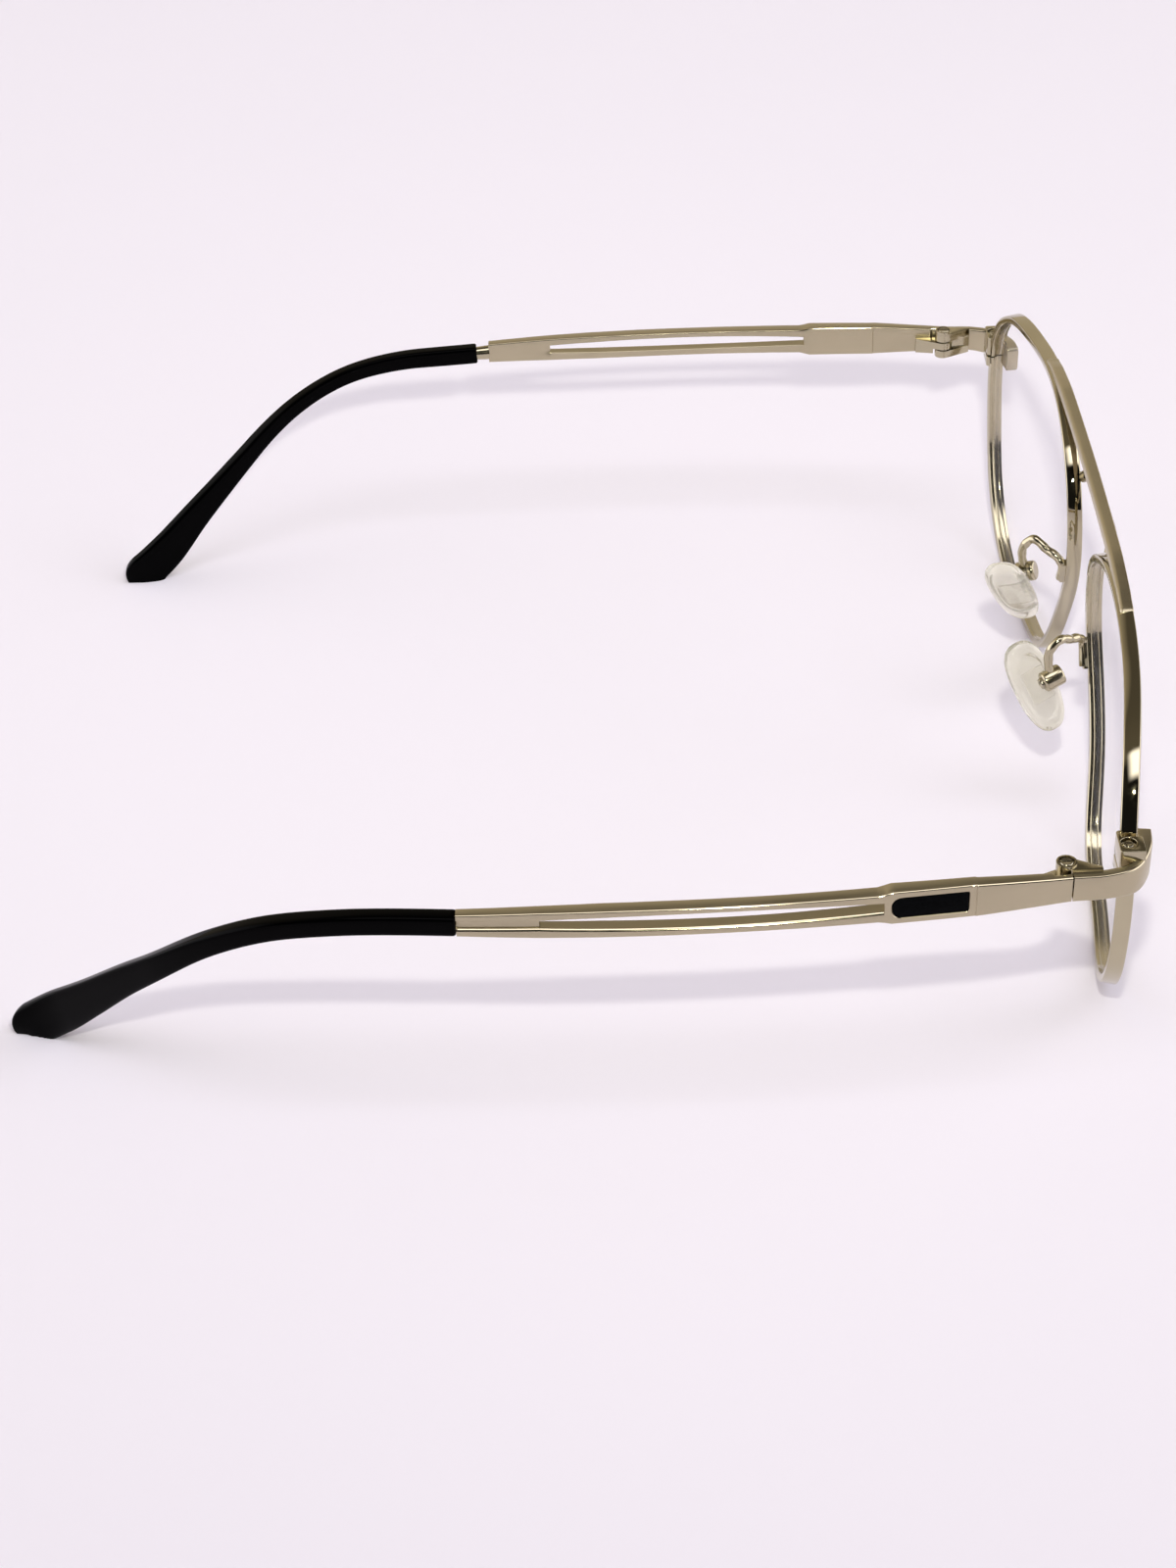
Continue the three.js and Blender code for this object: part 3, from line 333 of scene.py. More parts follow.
def tinted(tree, pattern, colour, positions, shares):
    """A colour that drifts with a pattern between two shares of itself."""
    tone = feed(tree, "ShaderNodeValToRGB", {"Fac": pattern})
    for stop, position, share in zip(tone.color_ramp.elements, positions, shares):
        stop.position = position
        stop.color = [min(1, c * share) for c in colour] + [1]
    return tone


def ranged(tree, value, span, result=(0, 1), **settings):
    """A value carried from one span to another and held at its ends."""
    return feed(tree, "ShaderNodeMapRange", {
        "Value": value, "From Min": span[0], "From Max": span[1],
        "To Min": result[0], "To Max": result[1],
    }, **settings)


def relief(tree, height, strength, depth):
    return feed(
        tree, "ShaderNodeBump", {"Strength": strength, "Distance": depth, "Height": height}
    )


def surfaced(material, inputs):
    """The material with a Principled shader on these inputs."""
    shader = feed(material.node_tree, "ShaderNodeBsdfPrincipled", inputs)
    feed(material.node_tree, "ShaderNodeOutputMaterial", {"Surface": shader})
    return material


def gold_finish(name, colour, roughness, unevenness, grain, grain_depth, stretch=(1, 1, 1), wear=0.7):
    """Plated metal: slow drift of tone, uneven polish, fine tool marks and brighter worn edges."""
    material, tree, place = new_material(name)
    drift = mottle(tree, place, scale=70.0, detail=3.0)
    lines = feed(tree, "ShaderNodeMapping", {"Vector": place, "Scale": stretch})
    marks = mottle(tree, lines, scale=grain, detail=2.0, Roughness=0.6)
    polish = ranged(tree, marks, (0.25, 0.75), (roughness - unevenness, roughness + unevenness))
    worn = feed(tree, "ShaderNodeAttribute", {}, attribute_name="edge")
    rubbed = feed(
        tree, "ShaderNodeMath", {0: worn.outputs["Fac"], 1: -wear * roughness, 2: polish},
        operation="MULTIPLY_ADD",
    )
    return surfaced(material, {
        "Base Color": tinted(tree, drift, colour, positions=(0.3, 0.7), shares=(0.93, 1.04)),
        "Metallic": 1.0, "Roughness": rubbed,
        "Normal": relief(tree, marks, strength=0.35, depth=grain_depth),
    })


def quarter_round(wide, tall, count):
    """How far a rounded corner stays inside the sharp one, both ways."""
    turn = np.radians(np.linspace(0, 90, count))
    return [(wide * (1 - np.cos(a)), tall * (1 - np.sin(a))) for a in turn]


polished_gold = gold_finish(
    "polished_gold", colour=(0.45, 0.4, 0.28), roughness=0.15, unevenness=0.04, grain=700.0,
    grain_depth=3e-6,
)

half_wall, half_depth = RIM_WALL / 2, RIM_DEPTH / 2
lip_wall, lip_depth = LIP_EDGE / half_wall, LIP_EDGE / half_depth
groove_half = GROOVE_WIDTH / RIM_DEPTH
groove_floor = GROOVE_DEPTH / half_wall - 1
outer_round = quarter_round(RIM_EDGE / half_wall, RIM_EDGE / half_depth, RIM_ARC)
front_half = [(1 - x, 1 - y) for x, y in outer_round] + [
    (lip_wall - 1, 1), (-1, 1 - lip_depth), (-1, groove_half + lip_depth),
    (lip_wall - 1, groove_half), (groove_floor, groove_half * GROOVE_FLOOR_SHARE),
]
eyewire_corners = front_half + [(x, -y) for x, y in reversed(front_half)]
front_marks = [1] * RIM_ARC + [LIP_WEAR] * 4 + [0]
eyewire_section = section_outline("eyewire_section", eyewire_corners, front_marks + front_marks[::-1])

split_share = LOCK_SPLIT / 2 / RIM_LENGTH
rim_t = lock_place + np.linspace(split_share, 1 - split_share, RIM_STATIONS)
rim_path, rim_across, rim_rise = rim_frame(rim_t)
for name, side in SIDES.items():
    eyewire = swept(
        f"{name}_eyewire", rim_path + EYE, rim_across, rim_rise, eyewire_section,
        RIM_WALL, RIM_DEPTH, polished_gold, side,
    )
    dress(eyewire, "front", "polished_gold", f"{name}_rim")

# Lenses. Thin clear lenses with a bevelled edge that snaps into the rim's groove when the rim lock
# is drawn shut. They are moulded hard resin with a smooth coating.

LENS_THICKNESS = 1.2
LENS_CLEAR = 0.2
LENS_BEVEL = 0.25
LENS_EDGE = 0.1
LENS_SHARES = (0.02, 0.15, 0.3, 0.45, 0.6, 0.75, 0.88)


def surface_piece(name, points, faces, finish, side=1, edge=None):
    """A piece from points in millimetres and faces, with its worn-edge marks."""
    mesh = bpy.data.meshes.new(name)
    mesh.from_pydata(in_frame(points, side), [], faces)
    hold(mesh, "edge", np.zeros(len(points)) if edge is None else edge)
    mesh.materials.append(finish)
    thing = new_object(name, mesh)
    finish_surface(thing)
    return thing


def skin(rings):
    """Points and faces that join rings of points, each ring closed, with the two ends filled."""
    count = len(rings[0])
    faces = []
    for i in range(len(rings) - 1):
        for j in range(count):
            k = (j + 1) % count
            faces.append((i * count + j, i * count + k, (i + 1) * count + k, (i + 1) * count + j))
    faces.append(tuple(range(count)))
    faces.append(tuple(range((len(rings) - 1) * count, len(rings) * count)))
    return np.vstack(rings), faces


def clear_finish(name, tint, presence, roughness, ior, smear):
    """Clear resin: even gloss with faint smears, mostly seen straight through."""
    material, tree, place = new_material(name)
    film = mottle(tree, place, scale=120.0, detail=4.0)
    return surfaced(material, {
        "Base Color": (*tint, 1), "IOR": ior, "Transmission Weight": 1.0, "Alpha": presence,
        "Roughness": ranged(tree, film, (0.45, 0.8), (roughness, roughness + smear)),
    })


clear_lens = clear_finish(
    "clear_lens", tint=(0.985, 0.99, 0.988), presence=0.06, roughness=0.0, ior=1.5, smear=0.03
)

lens_t = np.arange(RIM_STATIONS) / RIM_STATIONS
lens_outline = teardrop_at(lens_t)
edge_centre, edge_out, edge_forward = rim_frame(lens_t)
half_lens = LENS_THICKNESS / 2
lens_side = -RIM_WALL / 2 - LENS_CLEAR
lens_profile = [
    (lens_side - LENS_EDGE, -half_lens), (lens_side, LENS_EDGE - half_lens),
    (LENS_BEVEL - RIM_WALL / 2, 0.0),
    (lens_side, half_lens - LENS_EDGE), (lens_side - LENS_EDGE, half_lens),
]
lens_rings = [on_lens(lens_outline * share) - (half_lens, 0, 0) for share in LENS_SHARES]
lens_rings += [edge_centre + edge_out * inset + edge_forward * lift for inset, lift in lens_profile]
lens_rings += [on_lens(lens_outline * share) + (half_lens, 0, 0) for share in reversed(LENS_SHARES)]
lens_points, lens_faces = skin([ring + EYE for ring in lens_rings])
for name, side in SIDES.items():
    lens = surface_piece(f"{name}_clear_lens", lens_points, lens_faces, clear_lens, side)
    dress(lens, "front", "clear_lens", f"{name}_lens")

# Rim locks. Two small blocks are brazed to the cut ends of each rim at the temple side, one above the
# other, and a screw draws them together on the lens. They are milled, polished and plated.

LOCK_RADIUS = 1.4
LOCK_HALF = 1.62
LOCK_BACK = 0.7
LOCK_REAR = 0.9
LOCK_WRAP = 0.75
LOCK_CORNER = 0.45
LOCK_EDGES = {"lower": 0.38, "upper": 0.18}
LOCK_TOP = 1.4
LOCK_AHEAD = 0.4
LOCK_POCKET = 1.0
LOCK_SINK = 0.65
LOCK_SCREW = (0.3, -0.4)  # forward and outward of the block's middle
BRAZE = 0.05
SEAT_GAP = 0.15
CUT_PAST = 1.0
BLOCK_CREASE = 40


def rim_spot(place):
    """Centre of the rim at one place on it, with its outward and forward directions."""
    centre, out, forward = (rows[0] for rows in rim_frame(place))
    return centre + EYE, out, forward


lock_centre = rim_spot(lock_place)[0]
lock_x = lock_centre[0] - LOCK_BACK
lock_y = lock_centre[1] + RIM_WALL / 2 + SEAT_GAP + LOCK_RADIUS
lock_front = lock_centre[0] + RIM_DEPTH / 2 + LOCK_AHEAD
lock_rim_back = lock_centre[0] - RIM_DEPTH / 2 + BRAZE
lock_rim_side = lock_centre[1] + RIM_WALL / 2 - BRAZE
lock_rear = lock_x - LOCK_REAR
lock_side = lock_y + LOCK_RADIUS
lock_nose = lock_centre[1] - LOCK_WRAP
corner_round = quarter_round(LOCK_CORNER, LOCK_CORNER, 7)
lock_outline = [(lock_front, lock_rim_side), (lock_front, lock_side)]
lock_outline += [(lock_rear + x, lock_side - y) for x, y in reversed(corner_round)]
lock_outline += [(lock_rear + x, lock_nose + y) for x, y in corner_round]
lock_outline += [(lock_rim_back, lock_nose), (lock_rim_back, lock_rim_side)]


def circle(x, y, radius, count=48):
    """Plan outline of a round post or bore."""
    turn = np.arange(count) * 2 * np.pi / count
    return [(x + radius * np.cos(a), y + radius * np.sin(a)) for a in turn]


def prism(name, outline, low, high, side):
    """Upright polished block on a plan outline."""
    count = len(outline)
    points = [(x, y, z) for z in (low, high) for x, y in outline]
    faces = [tuple(range(count)), tuple(range(count, 2 * count))]
    faces += [(i, (i + 1) % count, count + (i + 1) % count, count + i) for i in range(count)]
    return surface_piece(name, points, faces, polished_gold, side)


def combined(first, operation, *others):
    """One closed piece from a piece and others that are joined to it or cut out of it."""
    for other in others:
        change = first.modifiers.new(operation.lower(), "BOOLEAN")
        change.operation = operation
        change.solver = "EXACT"
        change.object = other
    evaluated_mesh(first)
    for other in others:
        bpy.data.objects.remove(other)
    finish_surface(first, BLOCK_CREASE)
    return first


def softened(piece, width):
    """The piece with its hard edges rounded over."""
    rounding = piece.modifiers.new("rounding", "BEVEL")
    rounding.width = width * MM
    rounding.segments = 3
    rounding.limit_method = "ANGLE"
    rounding.angle_limit = np.radians(BLOCK_CREASE)
    evaluated_mesh(piece)
    finish_surface(piece, BLOCK_CREASE)
    return piece


lock_high = HINGE_HEIGHT + LOCK_SPLIT / 2 + LOCK_HALF + LOCK_TOP
lock_bore = (lock_x + LOCK_SCREW[0], lock_y + LOCK_SCREW[1])
lock_levels = {
    "lower": (HINGE_HEIGHT - LOCK_SPLIT / 2 - LOCK_HALF, HINGE_HEIGHT - LOCK_SPLIT / 2),
    "upper": (HINGE_HEIGHT + LOCK_SPLIT / 2, lock_high),
}
lock_pocket = (circle(*lock_bore, LOCK_POCKET), lock_high - LOCK_SINK, lock_high + CUT_PAST)
for name, side in SIDES.items():
    for level, heights in lock_levels.items():
        block = prism(f"{name}_{level}_lock_block", lock_outline, *heights, side)
        if level == "upper":
            combined(block, "DIFFERENCE", prism("pocket", *lock_pocket, side))
        softened(block, LOCK_EDGES[level])
        dress(block, "front", "polished_gold", f"{name}_{level}_rim_lock")

# End pieces. A stamped strip runs from the hinge round the front corner and along the front of the
# rim, where it is brazed. Its faces are satin, its corners lightly rounded.

END_HEIGHT = 3.6
CORNER_HEIGHT = 4.1
END_WALL = 1.25
END_INTO_FRONT = 6.5
END_RISE = 0.35
END_RISE_SHARES = (0.5, 0.9)
SIDE_OFFSET = 2.45
SPLIT_AHEAD = 0.65
STRIP_EDGE = 0.18
END_ROUND = 0.45
END_SEAT = 0.5
END_SEAT_SHARES = (0.66, 0.74)
CORNER_EDGE = 0.34
CORNER_GROWS = (0.2, 0.6)
CORNER_SHRINKS = (0.75, 1)
END_TURN = [
    # share of the way to the front, forward of it, share of the side offset, share of the front run
    (0.46, 0, 0.86, 0), (1, -2, 0.25, 0), (1, 0.1, 0, 0.45), (1, 0.6, 0, 1),
]

satin_gold = gold_finish(
    "satin_gold", colour=(0.475, 0.415, 0.29), roughness=0.34, unevenness=0.05, grain=1500.0,
    grain_depth=7e-6, stretch=(0.12, 1.0, 1.0),
)


def smooth_step(x, low, high):
    t = np.clip((np.asarray(x, float) - low) / (high - low), 0, 1)
    return t * t * (3 - 2 * t)


def rounded_box(low_a, high_a, low_b, high_b, edge):
    """Rounded rectangle as pairs of values, four to a corner."""
    pairs = []
    for a, b, turn in (
        (high_a - edge, high_b - edge, 0), (low_a + edge, high_b - edge, 90),
        (low_a + edge, low_b + edge, 180), (high_a - edge, low_b + edge, 270),
    ):
        for angle in np.radians(turn + np.array([0, 30, 60, 90])):
            pairs.append((a + edge * np.cos(angle), b + edge * np.sin(angle)))
    return pairs


front_face = lock_centre[0] + RIM_DEPTH / 2 + SEAT_GAP + END_WALL
end_turn = [
    (front_face * way + ahead, HINGE_Y + SIDE_OFFSET * out - END_INTO_FRONT * inside)
    for way, ahead, out, inside in END_TURN
]
end_path = smooth_path([(SPLIT_AHEAD, HINGE_Y + SIDE_OFFSET)] + end_turn, 160)
end_along = unit(np.gradient(end_path, axis=0))
end_inward = np.column_stack([end_along[:, 1], -end_along[:, 0]])
end_shares = np.linspace(0, 1, len(end_path))
end_corner = smooth_step(end_shares, *CORNER_GROWS) * (1 - smooth_step(end_shares, *CORNER_SHRINKS))
end_left = run_along(end_path)[-1] * (1 - end_shares)
end_trim = END_ROUND - np.sqrt(END_ROUND**2 - np.maximum(0, END_ROUND - end_left) ** 2)
end_level = HINGE_HEIGHT + END_HEIGHT / 2
end_rings = []
for spot, inward, corner, share, trim in zip(end_path, end_inward, end_corner, end_shares, end_trim):
    low = end_level - (END_HEIGHT + (CORNER_HEIGHT - END_HEIGHT) * corner)
    high = end_level + END_RISE * smooth_step(share, *END_RISE_SHARES)
    seat = END_SEAT * smooth_step(share, *END_SEAT_SHARES)
    edge = STRIP_EDGE + (CORNER_EDGE - STRIP_EDGE) * corner
    pairs = rounded_box(0, END_WALL + seat, low + trim, high - trim, edge)
    end_rings.append([(*(spot + inward * depth), z) for depth, z in pairs])
end_points, end_faces = skin(end_rings)
end_edge = np.tile([0, 1, 1, 0], len(end_points) // 4)
for name, side in SIDES.items():
    end_piece = surface_piece(f"{name}_end_strip", end_points, end_faces, satin_gold, side, end_edge)
    dress(end_piece, "front", "satin_gold", f"{name}_end_piece")

# Bridges. A straight satin bar is brazed along the tops of both rims, and a bowed polished wire below
# it joins the rims at the nose. Both are nickel silver, plated like the rims.

BAR_LENGTH = 68.0
BAR_STATIONS = 161
BAR_END_DROP = 0.5
BAR_THICKNESS = 1.0
BAR_DEPTH = 1.75
BAR_AHEAD = 0.2
BAR_BOW = 0.5
BAR_END_FALL = 0.8
BAR_FALL_SHARES = (0.62, 1.0)
BAR_REAR_ROUND = (0.55, 0.5)  # across and down
BAR_ARC = 7
BAR_END_ROUND = 0.8
BAR_END_KEPT = 0.8
BAR_TAPER = 0.45
BAR_TAPER_SHARES = (0.86, 1.0)
BROW_SIDE = (0.1, 0.3)
BROW_SHARE = 0.49
LOW_BRIDGE_HEIGHT = 40.2
LOW_BRIDGE_RISE = 2.0
LOW_BRIDGE_FORWARD = 2.2
LOW_BRIDGE_LEAVES = 2.4
LOW_BRIDGE_RADIUS = 0.85
LOW_BRIDGE_SEAT = 0.5
LOW_BRIDGE_STEP = 2.2
NOSE_SIDE = (0.36, 0.62)

crown_x = rim_spot(rim_place(EYE[2] + EYE_HEIGHT * BROW_SHARE, *BROW_SIDE))[0][0]
bar_high = RIM_TOP + SEAT_GAP + BAR_THICKNESS
bar_front_round = quarter_round(RIM_EDGE, RIM_EDGE, BAR_ARC)
bar_rear_round = quarter_round(*BAR_REAR_ROUND, BAR_ARC)
bar_rings = []
for share in np.sin(np.linspace(-np.pi / 2, np.pi / 2, BAR_STATIONS)):
    middle = crown_x + BAR_AHEAD + BAR_BOW * (1 - share**2)
    front, rear = middle + BAR_DEPTH / 2, middle - BAR_DEPTH / 2
    fall = smooth_step(abs(share), *BAR_FALL_SHARES)
    short = max(0, BAR_END_ROUND - (1 - abs(share)) * BAR_LENGTH / 2)
    taper = BAR_TAPER * smooth_step(abs(share), *BAR_TAPER_SHARES)
    end_round = BAR_END_ROUND - np.sqrt(BAR_END_ROUND**2 - BAR_END_KEPT * short**2)
    high = bar_high - BAR_END_FALL * fall - taper - end_round
    low = bar_high - BAR_THICKNESS - SEAT_GAP - BAR_END_DROP * fall
    pairs = [(rear, low), (front, low)]
    pairs += [(front - x, high - z) for x, z in bar_front_round]
    pairs += [(rear + x, high - z) for x, z in reversed(bar_rear_round)]
    bar_rings.append([(x, share * BAR_LENGTH / 2, z) for x, z in pairs])
bar_points, bar_faces = skin(bar_rings)
bar_edge = np.zeros((len(bar_rings), len(bar_rings[0])))
bar_edge[:, 3:1 + BAR_ARC] = 1
brow_bar = surface_piece("brow_bar", bar_points, bar_faces, satin_gold, 1, bar_edge)
dress(brow_bar, "front", "satin_gold", "top_bar")


def carried_frame(path, guide=(0.3, 0.2, 1.0)):
    """Two directions across a path, carried along it without twisting."""
    along = unit(np.gradient(path, axis=0))
    across = [unit(np.cross(along[0], guide))]
    for step in along[1:]:
        across.append(unit(across[-1] - step * (across[-1] @ step)))
    across = np.array(across)
    return across, np.cross(along, across)


def full_turn(step):
    """Angles all round, a step in degrees apart."""
    return np.radians(np.arange(0, 360, step))


wire_turn = full_turn(20)
wire_section = section_outline(
    "wire_section", np.column_stack([np.cos(wire_turn), np.sin(wire_turn)])
)

foot, foot_out, foot_forward = rim_spot(rim_place(LOW_BRIDGE_HEIGHT, *NOSE_SIDE))
bridge_start = foot + foot_forward * (RIM_DEPTH / 2 + LOW_BRIDGE_RADIUS * LOW_BRIDGE_SEAT)
bridge_rise = foot + foot_out * LOW_BRIDGE_STEP + foot_forward * LOW_BRIDGE_LEAVES
bridge_crown = np.array([foot[0] + LOW_BRIDGE_FORWARD, 0, LOW_BRIDGE_HEIGHT + LOW_BRIDGE_RISE])
mirror = np.array([1, -1, 1])
bridge_path = smooth_path(
    [bridge_start, bridge_rise, bridge_crown, bridge_rise * mirror, bridge_start * mirror], 90
)
bridge = swept(
    "bowed_bridge", bridge_path, *carried_frame(bridge_path), wire_section,
    2 * LOW_BRIDGE_RADIUS, 2 * LOW_BRIDGE_RADIUS, polished_gold,
)
dress(bridge, "front", "polished_gold", "lower_bridge")

# Hinges. The front leaf has two barrels and the temple leaf one between them, each with a tapering
# leaf that is brazed inside the strip. They are milled, then polished.

HINGE_STACK = 3.9
RUNNING_GAP = 0.2
BARREL_RADIUS = 1.25
BARREL_SET = 0.3
RING_RISE = 0.5
RING_SUNK = 0.1
RING_POCKET = 0.98
LEAF_LENGTH = 4.2
LEAF_WALL = 0.55
LEAF_ROOT = 0.2
LEAF_INSET = 0.05
LEAF_EDGE = 0.1
LEAF_RAISE = 0.3
LEAF_SEAT_SHARE = 0.7
TEMPLE_WALL = 1.5
BOW_DEPTH = 3.25
BOW_AT = 48.0
PANEL_STEP = 0.12


def side_at(x):
    """Outer face of the temple, outward from the hinge axis."""
    return SIDE_OFFSET + BOW_DEPTH * (1 - ((x + BOW_AT) / BOW_AT) ** 2)


def leaf_outline(direction, outer, with_barrel):
    """Plan of a leaf: from its barrel, if it has one there, to a thin tail along the side."""
    tail = direction * LEAF_LENGTH
    clear = direction * (BARREL_RADIUS + RUNNING_GAP)
    plan = [(tail, outer), (tail, outer - LEAF_WALL)]
    if with_barrel:
        plan += [(LEAF_ROOT * direction, outer)]
        plan += [(BARREL_RADIUS * np.cos(a), BARREL_RADIUS * np.sin(a)) for a in full_turn(9)]
    else:
        plan += [(clear, outer), (clear, outer - 2 * LEAF_WALL)]
    return [(plan[i][0], plan[i][1] + HINGE_Y) for i in convex_hull_2d(plan)]


def joined(name, blocks, side):
    """One piece from upright blocks, each a plan with its lower and upper height."""
    first, *others = [prism(name, *block, side) for block in blocks]
    return combined(first, "UNION", *others)


barrel_height = (HINGE_STACK - 2 * RUNNING_GAP) / 3
stack_low = HINGE_HEIGHT - HINGE_STACK / 2
stack_high = HINGE_HEIGHT + HINGE_STACK / 2
middle_low = stack_low + barrel_height + RUNNING_GAP
middle_high = middle_low + barrel_height
upper_low = middle_high + RUNNING_GAP
leaf_high = HINGE_HEIGHT + END_HEIGHT / 2 + LEAF_RAISE
front_seat = SIDE_OFFSET - END_WALL + BRAZE
rear_seat = side_at(-LEAF_LENGTH * LEAF_SEAT_SHARE) + PANEL_STEP - TEMPLE_WALL + BRAZE
front_blocks = [
    (leaf_outline(1, front_seat, False), stack_low + LEAF_INSET, leaf_high - LEAF_INSET),
    (leaf_outline(1, front_seat, True), stack_low, middle_low - RUNNING_GAP),
    (leaf_outline(1, front_seat, True), upper_low, leaf_high),
    (circle(0, HINGE_Y, BARREL_RADIUS), upper_low + RING_SUNK, stack_high + RING_RISE),
]
rear_blocks = [
    (leaf_outline(-1, rear_seat, False), stack_low + LEAF_INSET, middle_high - LEAF_INSET),
    (leaf_outline(-1, rear_seat - BARREL_SET, True), middle_low, middle_high),
]
ring_pocket = (circle(0, HINGE_Y, RING_POCKET), stack_high, stack_high + CUT_PAST)
for name, side in SIDES.items():
    front_leaf = joined(f"{name}_front_leaf", front_blocks, side)
    combined(front_leaf, "DIFFERENCE", prism("pocket", *ring_pocket, side))
    softened(front_leaf, LEAF_EDGE)
    dress(front_leaf, "front", "polished_gold", f"{name}_front_hinge_leaf")
    rear_leaf = softened(joined(f"{name}_rear_leaf", rear_blocks, side), LEAF_EDGE)
    dress(rear_leaf, f"{name}_temple_arm", "polished_gold", f"{name}_temple_hinge_leaf")

# Temples. A stamped nickel-silver arm, bowed outward, with a wider panel behind the hinge and a long
# slot between two rails, sunk in a shallow channel. Satin plated, with polished edges.

TEMPLE_BODY = 72.1
TEMPLE_DROP = 1.0
TEMPLE_GAP = 1.2 * SEAT_GAP
STATION_RUN = 1.2
PANEL_WALL = 2.1
RAIL_WALL = 1.9
PANEL_START = 11.0
PANEL_END = 21.0
PANEL_HEIGHT = 4.7
RAIL_HEIGHT = 3.95
REAR_HEIGHT = 3.15
HINGE_RELIEF = 1.0
RELIEF_END = 1.6
RELIEF_RUN = 0.3
PANEL_STEP_RUN = 0.1
PANEL_SHOULDER = 1.6
RAIL_EDGE = 0.14
LIP_ROUNDS = {1: 0.14, -1: 0.3}  # above and below the slot
BROKEN_EDGE = [(1, 0), (0.92, 0.03), (0.16, 0.62), (0.04, 0.8), (0, 1)]  # shares across and down
REAR_REACH = 0.37
SLOT_START = 21.9
SLOT_END = 62.6
SLOT_STEP = 0.02
SLOT_HEIGHTS = (1.35, 2.1, 1.25)  # front end, half way, rear end
SLOT_RAISE = 0.12
SLOT_EDGE = 0.07
RECESS_DEPTH = 0.45
INLAY_BACK = 0.85
INLAY_LENGTH = 9.1
INLAY_HEIGHT = 2.85
INLAY_DEPTH = 0.45
INLAY_ROUND = 1.15
INLAY_SQUARE = 0.3
POCKET_LAYERS = [
    # growth of the inlay's outline, height outward of the panel
    (0.08, -INLAY_DEPTH - 0.05), (0.08, -0.06), (0.2, 0.06), (0.2, 0.4),
]


def height_before(back):
    """Height of the arm between the hinge and the panel."""
    return END_HEIGHT + (PANEL_HEIGHT - END_HEIGHT) * back / PANEL_START


def between(a, b, share):
    return a + (b - a) * share


STATIONS = np.array([
    # back, height, wall, how far the outer face stands out
    (TEMPLE_GAP - SPLIT_AHEAD, END_HEIGHT, HINGE_RELIEF, PANEL_STEP),
    (RELIEF_END, height_before(RELIEF_END), HINGE_RELIEF, PANEL_STEP),
    (RELIEF_END + RELIEF_RUN, height_before(RELIEF_END + RELIEF_RUN), TEMPLE_WALL, PANEL_STEP),
    (PANEL_START - PANEL_STEP_RUN, PANEL_HEIGHT, between(TEMPLE_WALL, PANEL_WALL, 0.5), PANEL_STEP),
    (PANEL_START, PANEL_HEIGHT, between(TEMPLE_WALL, PANEL_WALL, 0.5), 0),
    (PANEL_END, PANEL_HEIGHT, PANEL_WALL, 0),
    (PANEL_END + PANEL_SHOULDER / 2, between(PANEL_HEIGHT, RAIL_HEIGHT, 0.6), PANEL_WALL, 0),
    (PANEL_END + PANEL_SHOULDER, RAIL_HEIGHT, between(PANEL_WALL, RAIL_WALL, 0.5), 0),
    (between(PANEL_END, BOW_AT, 0.5), RAIL_HEIGHT, RAIL_WALL, 0),
    (BOW_AT, RAIL_HEIGHT, RAIL_WALL, 0),
    (between(BOW_AT, SLOT_END, 0.5), between(RAIL_HEIGHT, REAR_HEIGHT, 0.1), RAIL_WALL, 0),
    (SLOT_END, between(RAIL_HEIGHT, REAR_HEIGHT, 0.3), between(TEMPLE_WALL, RAIL_WALL, 0.5), 0),
    (TEMPLE_BODY + REAR_REACH, REAR_HEIGHT, TEMPLE_WALL, 0),
])


def middle_at(x):
    return HINGE_HEIGHT + TEMPLE_DROP * x / TEMPLE_BODY


def slot_height(back):
    """Height of the slot, narrower at both ends than half way, and of the recess behind it."""
    share = np.clip((back - SLOT_START) / (SLOT_END - SLOT_START), 0, 1)
    first, middle, last = SLOT_HEIGHTS
    return between(between(first, last, share), middle, 4 * share * (1 - share))


def temple_half(back, sign):
    """Points of half a ring, above or below the slot: broken edge, channel lip, slot, inner round."""
    height, wall, stand = (np.interp(back, STATIONS[:, 0], column) for column in STATIONS.T[1:])
    outer = side_at(-back) + stand
    inner = outer - wall
    half = height / 2
    in_slot = SLOT_START <= back <= SLOT_END
    sunk = RECESS_DEPTH if back >= SLOT_START else 0.0
    edge = RAIL_EDGE if back >= PANEL_START else STRIP_EDGE
    slot = slot_height(back) / 2 + sign * SLOT_RAISE
    lip_high = LIP_ROUNDS[sign]
    lip_deep = lip_high if sunk else 0.0
    points = [(outer - edge * across, half - edge * down) for across, down in BROKEN_EDGE]
    points += [
        (outer - lip_deep * across, slot + lip_high * down) for across, down in reversed(BROKEN_EDGE)
    ]
    points += [
        (outer - sunk, slot - (0 if in_slot else SLOT_STEP)),
        (inner + (SLOT_EDGE if in_slot else 0.0), slot), (inner, slot + SLOT_EDGE),
    ]
    inner_round = quarter_round(STRIP_EDGE, STRIP_EDGE, len(BROKEN_EDGE))
    points += [(inner + x, half - z) for x, z in inner_round]
    return [(-back, y + HINGE_Y, middle_at(-back) + sign * z) for y, z in points]


